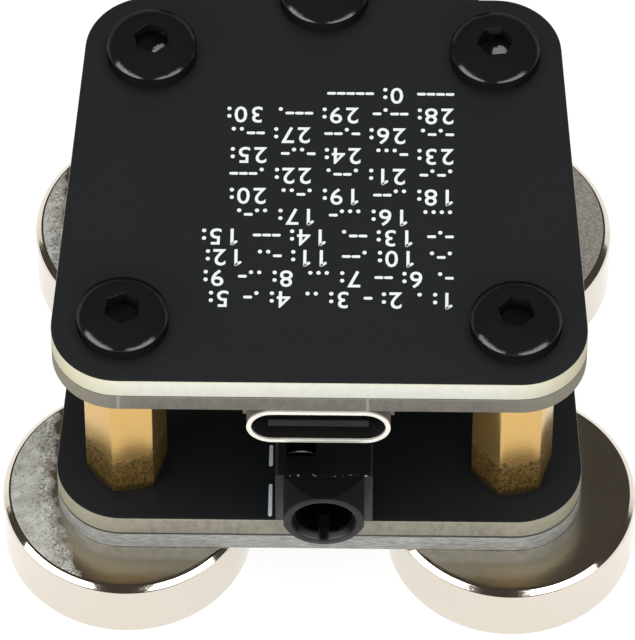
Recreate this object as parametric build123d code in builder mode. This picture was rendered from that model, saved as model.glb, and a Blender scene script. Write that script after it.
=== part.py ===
"""A small double paddle Morse key built on two decks of circuit boards.

Four disc magnets carry a steel plate and the base board. Brass hex pillars
hold up the main board and its cover board. Between the decks two levers turn on
upright pins, pressed apart by a pair of magnets, and each closes its contact on
the fifth pillar, the contact post, which stands on a tongue at the far edge.

Frame: +Z up, X across the key, +Y towards the finger pieces. Millimetres.
The origin is under the middle of the whole key, where the feet stand.
"""

import os

from build123d import *

# Boards: all four plates share one outline, wider at the connector edge
board_near_half_width = 16.9
board_far_half_width = 14.8
board_depth = 29.95
board_corner_radius = 4.2
tongue_radius = 4.3
tongue_root_radius = 1.8
cover_thickness = 1.6
main_board_thickness = 1.4
base_board_thickness = 1.6
steel_plate_thickness = 1.6
deck_gap = 12.0

# Screw places, measured in from the board's edges
near_screw_x = 12.15
far_screw_x = 10.85
near_screw_inset = 4.4
far_screw_inset = 4.55
post_overhang = 0.05

# Foot magnets, which cling to the steel plate
foot_radius = 7.92
foot_height = 5.0
foot_chamfer = 0.45
near_foot_x = 12.2
near_foot_inset = 4.58
far_foot_x = 10.8
far_foot_inset = 4.6

# Hex pillars, bored M3 from end to end
pillar_across_flats = 4.5
pillar_chamfer_rise_share = 0.58
pillar_turn = 12.0
thread_clearance = 0.04

# M3 screws: button heads on top, countersunk heads in the steel plate
screw_radius = 1.5
screw_hole_clearance = 0.1
top_screw_length = 6.0
button_head_radius = 2.85
button_head_height = 1.65
button_crown_share = 0.42
button_rim_share = 0.17
button_bulge_share = 0.8
socket_across_flats = 2.0
socket_depth = 1.04
base_screw_length = 6.0
countersunk_head_radius = 2.7
countersunk_head_sink = 0.05
countersunk_clearance = 0.05
countersunk_socket_depth = 0.9

# Pivot pins and the flanged bushes that they turn in
pin_radius = 1.0
pin_end_clearance = 0.1
pin_chamfer = 0.2
pin_running_clearance = 0.03
bush_radius = 1.6
bush_flange_radius = 2.3
bush_flange_thickness = 0.5
bush_seat_clearance = 0.01

# Levers, cut from brass bar
lever_centre_x = 5.6
lever_thickness = 3.0
lever_height = 5.0
lever_boss_radius = 2.75
lever_boss_clearance = 0.1
lever_behind_jack = 0.65
lever_edge_chamfer = 0.3
lever_nose_radius = 1.2
lever_past_screw = 2.0

# Return magnets, pressed into the levers with like poles facing
return_magnet_radius = 2.0
return_magnet_length = 3.0
return_magnet_seat = 1.2
return_magnet_chamfer = 0.2
return_magnet_place_share = 0.48
return_magnet_clearance = 0.02

# Contact rivets
contact_gap = 0.4
rivet_head_radius = 1.3
rivet_crown = 0.35
rivet_shank_radius = 0.7
rivet_upset_radius = 1.1
rivet_upset_height = 0.35
rivet_seat_clearance = 0.01

# Finger pieces, moulded black plastic
finger_projection = 23.09
finger_root_gap = 0.95
finger_thickness = 2.8
finger_neck_height = 6.8
finger_height = 13.0
finger_neck_length = 7.2
finger_shoulder_length = 3.6
finger_end_radius = 4.5
finger_shoulder_radius = 2.4
finger_root_radius = 1.2
finger_dish_radius = 24.0
finger_dish_depth = 0.8
finger_edge_radius = 0.6

# M2 cheese-head screws that hold the finger pieces
finger_screw_radius = 1.0
finger_screw_head_radius = 1.8
finger_screw_head_height = 1.2
finger_screw_slot_width = 0.5
finger_screw_slot_depth = 0.6
finger_screw_inset = 2.4
finger_screw_spacing = 4.4
finger_screw_clearance = 0.1
finger_screw_thread_clearance = 0.02

# Gap screws, M2, through the two far pillars
gap_screw_radius = 1.0
gap_screw_running_clearance = 0.03
gap_screw_tip_gap = 0.03
gap_screw_tip_chamfer = 0.35
gap_screw_head_radius = 2.0
gap_screw_head_length = 1.5
gap_screw_head_gap = 0.1
gap_screw_head_chamfer = 0.2
gap_screw_slot_width = 0.5
gap_screw_slot_depth = 0.6
gap_screw_flutes = 12
gap_screw_flute_radius = 0.25

# 3.5 mm jack
jack_x = 0.35
jack_width = 6.1
jack_height = 5.0
jack_length = 12.0
jack_ring_radius = 2.5
jack_neck_width = 5.05
jack_neck_length = 1.8
jack_neck_flare = 1.1
jack_bore_radius = 1.8
jack_mouth_radius = 1.97
jack_mouth_chamfer = 0.12
jack_body_edge = 0.15
jack_peg_radius = 0.5
jack_peg_length = 1.2
jack_peg_clearance = 0.05
jack_peg_count = 2
jack_peg_from_front = 3.0
jack_peg_spacing = 6.0

# Metal parts of the jack
sleeve_wall = 0.15
sleeve_recess = 0.45
sleeve_length = 2.6
sleeve_notch_width = 0.7
sleeve_notch_length = 1.2
window_width = 1.8
window_length = 6.4
window_from_front = 1.5
window_from_middle = 1.44
strip_thickness = 0.12
strip_arch = 0.25
strip_side_clearance = 0.08
lead_width = 0.9
lead_thickness = 0.25
lead_length = 1.1
lead_first_from_front = 7.2
lead_spacing = 3.0

# USB-C receptacle under the main board
usb_width = 8.94
usb_height = 3.26
usb_length = 7.3
usb_wall = 0.3
usb_overhang = 0.1
usb_leg_width = 1.1
usb_leg_thickness = 0.45
usb_leg_from_front = 1.0
usb_leg_spacing = 4.2
usb_leg_clearance = 0.1
usb_insulator_clearance = 0.02
usb_insulator_length = 1.7
usb_tongue_width = 6.25
usb_tongue_thickness = 0.7
usb_tongue_recess = 0.32
usb_contact_count = 12
usb_contact_pitch = 0.5
usb_contact_width = 0.25
usb_contact_thickness = 0.06
usb_contact_length = 2.8
usb_contact_recess = 0.5

# Keyer electronics under the main board
chip_width = 4.4
chip_length = 6.5
chip_height = 1.0
chip_standoff = 0.1
chip_edge_chamfer = 0.12
chip_behind_usb = 1.6
chip_lead_count = 10
chip_lead_pitch = 0.6
chip_lead_width = 0.25
chip_lead_length = 0.9
chip_lead_thickness = 0.15
passive_length = 1.6
passive_width = 0.8
capacitor_height = 0.8
resistor_height = 0.45
passive_spacing = 1.5
passive_behind_chip = 1.6
passive_row_spacing = 2.6
capacitor_count = 3
resistor_count = 4

cut_overrun = 1.0

# Heights of the decks, from the feet up
plate_bottom_z = foot_height
base_board_z = plate_bottom_z + steel_plate_thickness
base_top_z = base_board_z + base_board_thickness
main_board_z = base_top_z + deck_gap
cover_z = main_board_z + main_board_thickness
cover_top_z = cover_z + cover_thickness
lever_mid_z = base_top_z + deck_gap / 2

# Places along the key: the origin lies midway between feet and finger tips
reach_back = board_depth / 2 - near_foot_inset + foot_radius
reach_front = board_depth / 2 + finger_projection
board_centre_y = (reach_back - reach_front) / 2
near_edge_y = board_centre_y - board_depth / 2
far_edge_y = board_centre_y + board_depth / 2
near_screw_y = near_edge_y + near_screw_inset
far_screw_y = far_edge_y - far_screw_inset
post_y = far_edge_y + post_overhang
finger_end_y = far_edge_y + finger_projection
finger_root_y = far_edge_y + finger_root_gap
jack_back_y = near_edge_y + jack_length
pivot_y = jack_back_y + lever_boss_radius + lever_behind_jack
return_magnet_y = pivot_y + (post_y - pivot_y) * return_magnet_place_share
first_finger_screw_y = finger_root_y + finger_screw_inset
second_finger_screw_y = first_finger_screw_y + finger_screw_spacing
lever_end_y = second_finger_screw_y + lever_past_screw
usb_front_y = near_edge_y - usb_overhang
usb_back_y = usb_front_y + usb_length
chip_y = usb_back_y + chip_behind_usb + chip_length / 2

# Places across the key
lever_inner_x = lever_centre_x - lever_thickness / 2
lever_outer_x = lever_centre_x + lever_thickness / 2
finger_outer_x = lever_outer_x + finger_thickness
post_flat_x = pillar_across_flats / 2
pillar_outer_x = far_screw_x + pillar_across_flats / 2

screw_hole_radius = screw_radius + screw_hole_clearance
corner_places = [
    (-near_screw_x, near_screw_y),
    (near_screw_x, near_screw_y),
    (-far_screw_x, far_screw_y),
    (far_screw_x, far_screw_y),
]
screw_places = corner_places + [(0, post_y)]
pivot_places = [(-lever_centre_x, pivot_y), (lever_centre_x, pivot_y)]

# Angles at which a hexagon shows a flat to the sides or to the connector edge
flats_to_sides = 30
flats_to_near_edge = 0

os.makedirs("parts", exist_ok=True)


def write_piece(piece, name):
    """Label a finished piece and write it as its own file."""
    piece.part.label = name
    export_step(piece.part, f"parts/{name}.step")


def write_pair(piece, name):
    """Write a right-hand piece, and its mirror image as the left-hand one."""
    write_piece(piece, f"right_{name}")
    with BuildPart() as left_piece:
        mirror(piece.part, about=Plane.YZ)
    write_piece(left_piece, f"left_{name}")


def across_axis(y, z):
    """The axis along X at this y and z."""
    return Axis((0, y, z), (1, 0, 0))


def upright_plane(x, y):
    """A plane for profiles turned about the upright axis at this x and y."""
    return Plane(origin=(x, y, 0), x_dir=(1, 0, 0), z_dir=(0, -1, 0))


def upright_axis(x, y):
    """The upright axis at this x and y."""
    return Axis((x, y, 0), (0, 0, 1))


def board_outline():
    """The outline of the boards and the plate, with the tongue for the contact post."""
    with BuildSketch() as outline:
        with BuildLine():
            Polyline(
                (-board_near_half_width, near_edge_y),
                (board_near_half_width, near_edge_y),
                (board_far_half_width, far_edge_y),
                (-board_far_half_width, far_edge_y),
                close=True,
            )
        make_face()
        fillet(outline.vertices(), board_corner_radius)
        with Locations((0, post_y)):
            Circle(tongue_radius)
        roots = outline.vertices().filter_by_position(
            Axis.X, -tongue_radius, tongue_radius
        ).filter_by_position(Axis.Y, far_edge_y, far_edge_y)
        fillet(roots, tongue_root_radius)
    return outline.sketch


def make_cover_board():
    """Top circuit board, a plain cover with the five screw holes."""
    with BuildPart() as cover_board:
        with BuildSketch(Plane.XY.offset(cover_z)):
            add(board_outline())
            with Locations(*screw_places):
                Circle(screw_hole_radius, mode=Mode.SUBTRACT)
        extrude(amount=cover_thickness)
    write_piece(cover_board, "cover_board")


def usb_leg_places():
    """Middles of the four receptacle legs, as x and y."""
    leg_x = usb_width / 2
    first_y = usb_front_y + usb_leg_from_front + usb_leg_width / 2
    return [(side * leg_x, first_y + step * usb_leg_spacing) for side in (-1, 1) for step in (0, 1)]


def make_main_board():
    """Board that carries the USB-C receptacle and the keyer chip on its underside."""
    with BuildPart() as main_board:
        with BuildSketch(Plane.XY.offset(main_board_z)):
            add(board_outline())
            with Locations(*screw_places):
                Circle(screw_hole_radius, mode=Mode.SUBTRACT)
            with Locations(*pivot_places):
                Circle(bush_radius + bush_seat_clearance, mode=Mode.SUBTRACT)
            with Locations(*usb_leg_places()):
                Rectangle(
                    usb_leg_thickness + 2 * usb_leg_clearance,
                    usb_leg_width + 2 * usb_leg_clearance,
                    mode=Mode.SUBTRACT,
                )
        extrude(amount=main_board_thickness)
    write_piece(main_board, "main_board")


def jack_peg_centres():
    """Middles of the locating pegs under the jack."""
    first_y = near_edge_y + jack_peg_from_front
    return [(jack_x, first_y + step * jack_peg_spacing) for step in range(jack_peg_count)]


def make_base_board():
    """Lower board, with the jack's peg holes and the lower bush seats."""
    with BuildPart() as base_board:
        with BuildSketch(Plane.XY.offset(base_board_z)):
            add(board_outline())
            with Locations(*screw_places):
                Circle(screw_hole_radius, mode=Mode.SUBTRACT)
            with Locations(*pivot_places):
                Circle(bush_radius + bush_seat_clearance, mode=Mode.SUBTRACT)
            with Locations(*jack_peg_centres()):
                Circle(jack_peg_radius + jack_peg_clearance, mode=Mode.SUBTRACT)
        extrude(amount=base_board_thickness)
    write_piece(base_board, "base_board")


def make_steel_plate():
    """Steel plate under the base board, countersunk from below for the base screws."""
    with BuildPart() as steel_plate:
        with BuildSketch(Plane.XY.offset(plate_bottom_z)):
            add(board_outline())
            with Locations(*screw_places):
                Circle(screw_hole_radius, mode=Mode.SUBTRACT)
        extrude(amount=steel_plate_thickness)
        mouth_radius = countersunk_head_radius + countersunk_clearance + countersunk_head_sink
        for x, y in screw_places:
            with BuildSketch(upright_plane(x, y)):
                with BuildLine():
                    Polyline(
                        (0, plate_bottom_z),
                        (mouth_radius, plate_bottom_z),
                        (screw_hole_radius, plate_bottom_z + mouth_radius - screw_hole_radius),
                        (0, plate_bottom_z + mouth_radius - screw_hole_radius),
                        close=True,
                    )
                make_face()
            revolve(axis=upright_axis(x, y), mode=Mode.SUBTRACT)
    write_piece(steel_plate, "steel_plate")


def make_foot_magnets():
    """Four nickel-plated disc magnets, chamfered all round."""
    near_y = near_edge_y + near_foot_inset
    far_y = far_edge_y - far_foot_inset
    places = {
        "near_left_magnet": (-near_foot_x, near_y),
        "near_right_magnet": (near_foot_x, near_y),
        "far_left_magnet": (-far_foot_x, far_y),
        "far_right_magnet": (far_foot_x, far_y),
    }
    for name, place in places.items():
        with BuildPart() as magnet:
            with BuildSketch():
                with Locations(place):
                    Circle(foot_radius)
            extrude(amount=foot_height)
            chamfer(magnet.edges(), foot_chamfer)
        write_piece(magnet, name)


def hex_pillar(x, y, turn):
    """A hex pillar between the decks, with its ends turned round, bored for M3."""
    end_radius = pillar_across_flats / 2
    outside_radius = pillar_across_flats
    chamfer_rise = (outside_radius - end_radius) * pillar_chamfer_rise_share
    with BuildPart() as pillar:
        with BuildSketch(Plane.XY.offset(base_top_z)):
            with Locations((x, y)):
                RegularPolygon(pillar_across_flats / 2, 6, major_radius=False, rotation=turn)
                Circle(screw_radius, mode=Mode.SUBTRACT)
        extrude(amount=deck_gap)
        with BuildSketch(upright_plane(x, y)):
            with BuildLine():
                Polyline(
                    (0, base_top_z),
                    (end_radius, base_top_z),
                    (outside_radius, base_top_z + chamfer_rise),
                    (outside_radius, main_board_z - chamfer_rise),
                    (end_radius, main_board_z),
                    (0, main_board_z),
                    close=True,
                )
            make_face()
        revolve(axis=upright_axis(x, y), mode=Mode.INTERSECT)
    return pillar


def make_pillars():
    """Four corner pillars, and the contact post, whose flats face the two rivets."""
    near_turn = flats_to_near_edge + pillar_turn
    for name, x in (("near_left_pillar", -near_screw_x), ("near_right_pillar", near_screw_x)):
        write_piece(hex_pillar(x, near_screw_y, near_turn), name)

    # The far pillars are cross-drilled for the gap screws
    for name, x in (("far_left_pillar", -far_screw_x), ("far_right_pillar", far_screw_x)):
        with BuildPart() as drilled_pillar:
            add(hex_pillar(x, far_screw_y, flats_to_sides).part)
            with BuildSketch(Plane.YZ.offset(x)):
                with Locations((far_screw_y, lever_mid_z)):
                    Circle(gap_screw_radius + gap_screw_running_clearance)
            extrude(amount=pillar_across_flats, both=True, mode=Mode.SUBTRACT)
        write_piece(drilled_pillar, name)

    write_piece(hex_pillar(0, post_y, flats_to_sides), "contact_post")


def make_top_screws():
    """Five M3 button-head screws with hexagon sockets, through cover and main board."""
    head_top_z = cover_top_z + button_head_height
    crown_radius = button_head_radius * button_crown_share
    middle_radius = (button_head_radius + crown_radius) / 2
    tip_z = cover_top_z - top_screw_length
    shank_radius = screw_radius - thread_clearance
    rim_z = cover_top_z + button_head_height * button_rim_share
    bulge_z = cover_top_z + button_head_height * button_bulge_share
    with BuildPart() as top_screws:
        for x, y in screw_places:
            with BuildSketch(upright_plane(x, y)):
                with BuildLine():
                    Polyline(
                        (crown_radius, head_top_z),
                        (0, head_top_z),
                        (0, tip_z),
                        (shank_radius, tip_z),
                        (shank_radius, cover_top_z),
                        (button_head_radius, cover_top_z),
                        (button_head_radius, rim_z),
                    )
                    ThreePointArc(
                        (button_head_radius, rim_z),
                        (middle_radius, bulge_z),
                        (crown_radius, head_top_z),
                    )
                make_face()
            revolve(axis=upright_axis(x, y))
        with BuildSketch(Plane.XY.offset(head_top_z)):
            with Locations(*screw_places):
                RegularPolygon(socket_across_flats / 2, 6, major_radius=False)
        extrude(amount=-socket_depth, mode=Mode.SUBTRACT)
    write_piece(top_screws, "top_screws")


def make_base_screws():
    """Five M3 countersunk screws, up through steel plate and base board."""
    head_z = plate_bottom_z + countersunk_head_sink
    cone_z = head_z + countersunk_head_radius - screw_radius
    tip_z = plate_bottom_z + base_screw_length
    shank_radius = screw_radius - thread_clearance
    with BuildPart() as base_screws:
        for x, y in screw_places:
            with BuildSketch(upright_plane(x, y)):
                with BuildLine():
                    Polyline(
                        (0, head_z),
                        (countersunk_head_radius, head_z),
                        (screw_radius, cone_z),
                        (shank_radius, cone_z),
                        (shank_radius, tip_z),
                        (0, tip_z),
                        close=True,
                    )
                make_face()
            revolve(axis=upright_axis(x, y))
        with BuildSketch(Plane.XY.offset(head_z)):
            with Locations(*screw_places):
                RegularPolygon(socket_across_flats / 2, 6, major_radius=False)
        extrude(amount=countersunk_socket_depth, mode=Mode.SUBTRACT)
    write_piece(base_screws, "base_screws")


def bush(seat_z, body_end_z, flange_end_z):
    """A flanged bush at the right-hand pivot: body in its board, flange between the decks."""
    bore_radius = pin_radius + pin_running_clearance
    with BuildPart() as flanged_bush:
        with BuildSketch(upright_plane(lever_centre_x, pivot_y)):
            with BuildLine():
                Polyline(
                    (bore_radius, body_end_z),
                    (bush_radius, body_end_z),
                    (bush_radius, seat_z),
                    (bush_flange_radius, seat_z),
                    (bush_flange_radius, flange_end_z),
                    (bore_radius, flange_end_z),
                    close=True,
                )
            make_face()
        revolve(axis=upright_axis(lever_centre_x, pivot_y))
    return flanged_bush


def make_bushes():
    """A lower and an upper bush for each pivot pin."""
    lower = bush(base_top_z, base_board_z, base_top_z + bush_flange_thickness)
    write_pair(lower, "lower_bush")
    upper = bush(main_board_z, cover_z, main_board_z - bush_flange_thickness)
    write_pair(upper, "upper_bush")


def make_pivot_pins():
    """Steel pins fast in the levers, turning in the bushes."""
    bottom_z = base_board_z + pin_end_clearance
    top_z = cover_z - pin_end_clearance
    with BuildPart() as pivot_pin:
        with BuildSketch(Plane.XY.offset(bottom_z)):
            with Locations((lever_centre_x, pivot_y)):
                Circle(pin_radius)
        extrude(amount=top_z - bottom_z)
        chamfer(pivot_pin.edges(), pin_chamfer)
    write_pair(pivot_pin, "pivot_pin")


def make_levers():
    """Brass levers: a bar with an upright boss for the pin, drilled for what it carries."""
    boss_bottom_z = base_top_z + bush_flange_thickness + lever_boss_clearance
    boss_top_z = main_board_z - bush_flange_thickness - lever_boss_clearance
    bar_length = lever_end_y - pivot_y
    bar_middle_y = (lever_end_y + pivot_y) / 2
    with BuildPart() as lever:
        with BuildSketch(Plane.YZ.offset(lever_inner_x)) as side_view:
            with Locations((bar_middle_y, lever_mid_z)):
                Rectangle(bar_length, lever_height)
            fillet(side_view.vertices().group_by(Axis.Y)[-1], lever_nose_radius)
        extrude(amount=lever_thickness)
        chamfer(lever.faces().sort_by(Axis.X)[-1].edges(), lever_edge_chamfer)

        # The boss, with its bore
        with BuildSketch(Plane.XY.offset(boss_bottom_z)):
            with Locations((lever_centre_x, pivot_y)):
                Circle(lever_boss_radius)
        extrude(amount=boss_top_z - boss_bottom_z)
        with BuildSketch(Plane.XY.offset(boss_bottom_z)):
            with Locations((lever_centre_x, pivot_y)):
                Circle(pin_radius)
        extrude(amount=boss_top_z - boss_bottom_z, mode=Mode.SUBTRACT)

        # Seat of the return magnet, open to the middle of the key
        with BuildSketch(Plane.YZ.offset(lever_inner_x)):
            with Locations((return_magnet_y, lever_mid_z)):
                Circle(return_magnet_radius + return_magnet_clearance)
        extrude(amount=return_magnet_seat, mode=Mode.SUBTRACT)

        # Rivet hole and the two tapped holes for the finger piece
        with BuildSketch(Plane.YZ.offset(lever_inner_x)):
            with Locations((post_y, lever_mid_z)):
                Circle(rivet_shank_radius + rivet_seat_clearance)
            with Locations((first_finger_screw_y, lever_mid_z), (second_finger_screw_y, lever_mid_z)):
                Circle(finger_screw_radius)
        extrude(amount=lever_thickness, mode=Mode.SUBTRACT)
    write_pair(lever, "lever")


def make_return_magnets():
    """Small disc magnets that push the two levers apart."""
    with BuildPart() as magnet:
        with BuildSketch(Plane.YZ.offset(lever_inner_x + return_magnet_seat)):
            with Locations((return_magnet_y, lever_mid_z)):
                Circle(return_magnet_radius)
        extrude(amount=-return_magnet_length)
        chamfer(magnet.edges(), return_magnet_chamfer)
    write_pair(magnet, "return_magnet")


def make_contact_rivets():
    """Silver rivets through the levers, with a crowned face towards the contact post."""
    face_x = post_flat_x + contact_gap
    upset_x = lever_outer_x + rivet_upset_height
    head_y = post_y + rivet_head_radius
    shank_y = post_y + rivet_shank_radius
    upset_y = post_y + rivet_upset_radius
    with BuildPart() as rivet:
        with BuildSketch(Plane.XY.offset(lever_mid_z)):
            with BuildLine():
                Polyline(
                    (face_x + rivet_crown, head_y),
                    (lever_inner_x, head_y),
                    (lever_inner_x, shank_y),
                    (lever_outer_x, shank_y),
                    (lever_outer_x, upset_y),
                )
                TangentArc((upset_x, post_y), (lever_outer_x, upset_y), tangent=(0, 1))
                Line((upset_x, post_y), (face_x, post_y))
                TangentArc((face_x, post_y), (face_x + rivet_crown, head_y), tangent=(0, 1))
            make_face()
        revolve(axis=across_axis(post_y, lever_mid_z))
    write_pair(rivet, "contact_rivet")


def make_finger_pieces():
    """Black finger pieces: a neck screwed to the lever, widening to a dished touch face."""
    shoulder_y = finger_root_y + finger_neck_length
    blade_y = shoulder_y + finger_shoulder_length
    neck = finger_neck_height / 2
    blade = finger_height / 2
    dish_y = (blade_y + finger_end_y) / 2
    screw_ys = (first_finger_screw_y, second_finger_screw_y)
    with BuildPart() as finger_piece:
        with BuildSketch(Plane.YZ.offset(lever_outer_x)) as side_view:
            with BuildLine():
                Polyline(
                    (finger_root_y, lever_mid_z - neck),
                    (shoulder_y, lever_mid_z - neck),
                    (blade_y, lever_mid_z - blade),
                    (finger_end_y, lever_mid_z - blade),
                    (finger_end_y, lever_mid_z + blade),
                    (blade_y, lever_mid_z + blade),
                    (shoulder_y, lever_mid_z + neck),
                    (finger_root_y, lever_mid_z + neck),
                    close=True,
                )
            make_face()
            columns = side_view.vertices().group_by(Axis.Y)
            fillet(columns[-1], finger_end_radius)
            fillet(columns[1] + columns[2], finger_shoulder_radius)
            fillet(columns[0], finger_root_radius)
        extrude(amount=finger_thickness)

        # The dish is a wide upright cylinder sunk into the outer face
        with BuildSketch(Plane.XY.offset(lever_mid_z)):
            with Locations((finger_outer_x + finger_dish_radius - finger_dish_depth, dish_y)):
                Circle(finger_dish_radius)
        extrude(amount=finger_height, both=True, mode=Mode.SUBTRACT)
        outline_edges = finger_piece.faces().sort_by(Axis.X)[0].edges()
        fillet(outline_edges, finger_edge_radius)

        # Clearance holes, counterbored for the screw heads
        with BuildSketch(Plane.YZ.offset(lever_outer_x)):
            with Locations(*[(y, lever_mid_z) for y in screw_ys]):
                Circle(finger_screw_radius + finger_screw_clearance)
        extrude(amount=finger_thickness, mode=Mode.SUBTRACT)
        with BuildSketch(Plane.YZ.offset(finger_outer_x)):
            with Locations(*[(y, lever_mid_z) for y in screw_ys]):
                Circle(finger_screw_head_radius + finger_screw_clearance)
        extrude(amount=-finger_screw_head_height, mode=Mode.SUBTRACT)
    write_pair(finger_piece, "finger_piece")


def make_finger_screws():
    """Two M2 cheese-head screws for each finger piece, heads flush in their counterbores."""
    seat_x = finger_outer_x - finger_screw_head_height
    shank_radius = finger_screw_radius - finger_screw_thread_clearance
    places = [(y, lever_mid_z) for y in (first_finger_screw_y, second_finger_screw_y)]
    with BuildPart() as finger_screws:
        with BuildSketch(Plane.YZ.offset(seat_x)):
            with Locations(*places):
                Circle(finger_screw_head_radius)
        extrude(amount=finger_screw_head_height)
        with BuildSketch(Plane.YZ.offset(seat_x)):
            with Locations(*places):
                Circle(shank_radius)
        extrude(amount=lever_inner_x - seat_x)
        with BuildSketch(Plane.YZ.offset(finger_outer_x)):
            with Locations(*places):
                Rectangle(finger_screw_slot_width, finger_screw_head_radius * 2 + cut_overrun)
        extrude(amount=-finger_screw_slot_depth, mode=Mode.SUBTRACT)
    write_pair(finger_screws, "finger_screws")


def make_gap_screws():
    """M2 screws through the far pillars: the levers rest on their tips, heads outside."""
    tip_x = lever_outer_x + gap_screw_tip_gap
    head_x = pillar_outer_x + gap_screw_head_gap
    end_x = head_x + gap_screw_head_length
    axis_y = far_screw_y
    with BuildPart() as gap_screw:
        with BuildSketch(Plane.YZ.offset(tip_x)):
            with Locations((axis_y, lever_mid_z)):
                Circle(gap_screw_radius)
        extrude(amount=head_x - tip_x)
        chamfer(gap_screw.edges().group_by(Axis.X)[0], gap_screw_tip_chamfer)
        with BuildSketch(Plane.YZ.offset(head_x)):
            with Locations((axis_y, lever_mid_z)):
                Circle(gap_screw_head_radius)
        extrude(amount=gap_screw_head_length)
        chamfer(gap_screw.edges().group_by(Axis.X)[-1], gap_screw_head_chamfer)

        # Flutes round the rim, and a slot for a screwdriver
        with BuildSketch(Plane.YZ.offset(head_x)):
            with Locations((axis_y, lever_mid_z)):
                with PolarLocations(gap_screw_head_radius, gap_screw_flutes):
                    Circle(gap_screw_flute_radius)
        extrude(amount=gap_screw_head_length, mode=Mode.SUBTRACT)
        with BuildSketch(Plane.YZ.offset(end_x)):
            with Locations((axis_y, lever_mid_z)):
                Rectangle(gap_screw_slot_width, gap_screw_head_radius * 2 + cut_overrun)
        extrude(amount=-gap_screw_slot_depth, mode=Mode.SUBTRACT)
    write_pair(gap_screw, "gap_screw")


def jack_plane(distance_back):
    """An upright plane across the jack, this far behind the boards' near edge, facing back."""
    return Plane(origin=(jack_x, near_edge_y + distance_back, base_top_z), x_dir=(-1, 0, 0), z_dir=(0, 1, 0))


def jack_neck():
    """Square neck in front of the jack's box, tapered by a cone to the ring round the mouth."""
    front_y = near_edge_y - jack_neck_length
    axis_z = base_top_z + jack_ring_radius
    with BuildPart() as neck:
        with BuildSketch(jack_plane(-jack_neck_length)):
            with Locations((0, jack_height / 2)):
                Rectangle(jack_neck_width, jack_height)
        extrude(amount=jack_neck_length)
        with BuildSketch(Plane.XY.offset(axis_z)):
            with BuildLine():
                Polyline(
                    (jack_x, front_y),
                    (jack_x + jack_ring_radius, front_y),
                    (jack_x + jack_ring_radius + jack_neck_flare, near_edge_y),
                    (jack_x, near_edge_y),
                    close=True,
                )
            make_face()
        revolve(axis=Axis((jack_x, front_y, axis_z), (0, 1, 0)), mode=Mode.INTERSECT)
    return neck


def make_jack_body():
    """Moulded jack: a box on the base board with a neck that stands out of its front."""
    bore_height = jack_ring_radius
    total_length = jack_length + jack_neck_length
    counterbore = sleeve_recess + sleeve_length
    with BuildPart() as jack_body:
        with BuildSketch(jack_plane(0)):
            with Locations((0, jack_height / 2)):
                Rectangle(jack_width, jack_height)
        extrude(amount=jack_length)
        chamfer(jack_body.edges().filter_by(Axis.Y).group_by(Axis.Z)[-1], jack_body_edge)
        add(jack_neck().part)
        with BuildSketch(jack_plane(-jack_neck_length)):
            with Locations((0, bore_height)):
                Circle(jack_bore_radius)
        extrude(amount=total_length, mode=Mode.SUBTRACT)
        with BuildSketch(jack_plane(-jack_neck_length)):
            with Locations((0, bore_height)):
                Circle(jack_mouth_radius)
        extrude(amount=counterbore, mode=Mode.SUBTRACT)
        mouth = jack_body.edges().filter_by(GeomType.CIRCLE).group_by(Axis.Y)[0].sort_by(SortBy.RADIUS)[0]
        chamfer(mouth, jack_mouth_chamfer)

        # Window over the tip spring, as deep as the wall above the bore
        window_depth = jack_height - jack_ring_radius - jack_bore_radius
        window_middle_y = near_edge_y + window_from_front + window_length / 2
        with BuildSketch(Plane.XY.offset(base_top_z + jack_height)):
            with Locations((jack_x - window_from_middle, window_middle_y)):
                Rectangle(window_width, window_length)
        extrude(amount=-window_depth, mode=Mode.SUBTRACT)

        # Locating pegs
        with BuildSketch(Plane.XY.offset(base_top_z)):
            with Locations(*jack_peg_centres()):
                Circle(jack_peg_radius)
        extrude(amount=-jack_peg_length)
    write_piece(jack_body, "jack_body")


def make_jack_sleeve():
    """Ground contact: a thin notched ring just inside the mouth of the jack."""
    inner_radius = jack_bore_radius
    outer_radius = inner_radius + sleeve_wall
    front = sleeve_recess - jack_neck_length
    with BuildPart() as jack_sleeve:
        with BuildSketch(jack_plane(front)):
            with Locations((0, jack_ring_radius)):
                Circle(outer_radius)
                Circle(inner_radius, mode=Mode.SUBTRACT)
        extrude(amount=sleeve_length)
        with BuildSketch(jack_plane(front)):
            with Locations((0, jack_ring_radius - outer_radius)):
                Rectangle(sleeve_notch_width, outer_radius)
        extrude(amount=sleeve_notch_length, mode=Mode.SUBTRACT)
    write_piece(jack_sleeve, "jack_ground_sleeve")


def make_jack_contacts():
    """Crowned tip spring in the jack's window, and the four soldered leads at its sides."""
    floor_z = base_top_z + jack_ring_radius + jack_bore_radius
    window_middle_y = near_edge_y + window_from_front + window_length / 2
    lead_ys = [near_edge_y + lead_first_from_front + step * lead_spacing for step in (0, 1)]
    lead_x = jack_width / 2 + lead_length / 2
    spring_half_width = window_width / 2 - strip_side_clearance
    spring_length = window_length - 2 * strip_side_clearance
    spring_plane = Plane(
        origin=(jack_x - window_from_middle, window_middle_y, floor_z), x_dir=(1, 0, 0), z_dir=(0, -1, 0)
    )
    with BuildPart() as jack_contacts:
        with BuildSketch(spring_plane):
            with BuildLine():
                Polyline(
                    (-spring_half_width, strip_thickness),
                    (-spring_half_width, 0),
                    (spring_half_width, 0),
                    (spring_half_width, strip_thickness),
                )
                ThreePointArc(
                    (spring_half_width, strip_thickness),
                    (0, strip_thickness + strip_arch),
                    (-spring_half_width, strip_thickness),
                )
            make_face()
        extrude(amount=spring_length / 2, both=True)
        with BuildSketch(Plane.XY.offset(base_top_z)):
            with Locations(*[(jack_x + side * lead_x, y) for side in (-1, 1) for y in lead_ys]):
                Rectangle(lead_length, lead_width)
        extrude(amount=lead_thickness)
    write_piece(jack_contacts, "jack_contacts")


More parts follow.
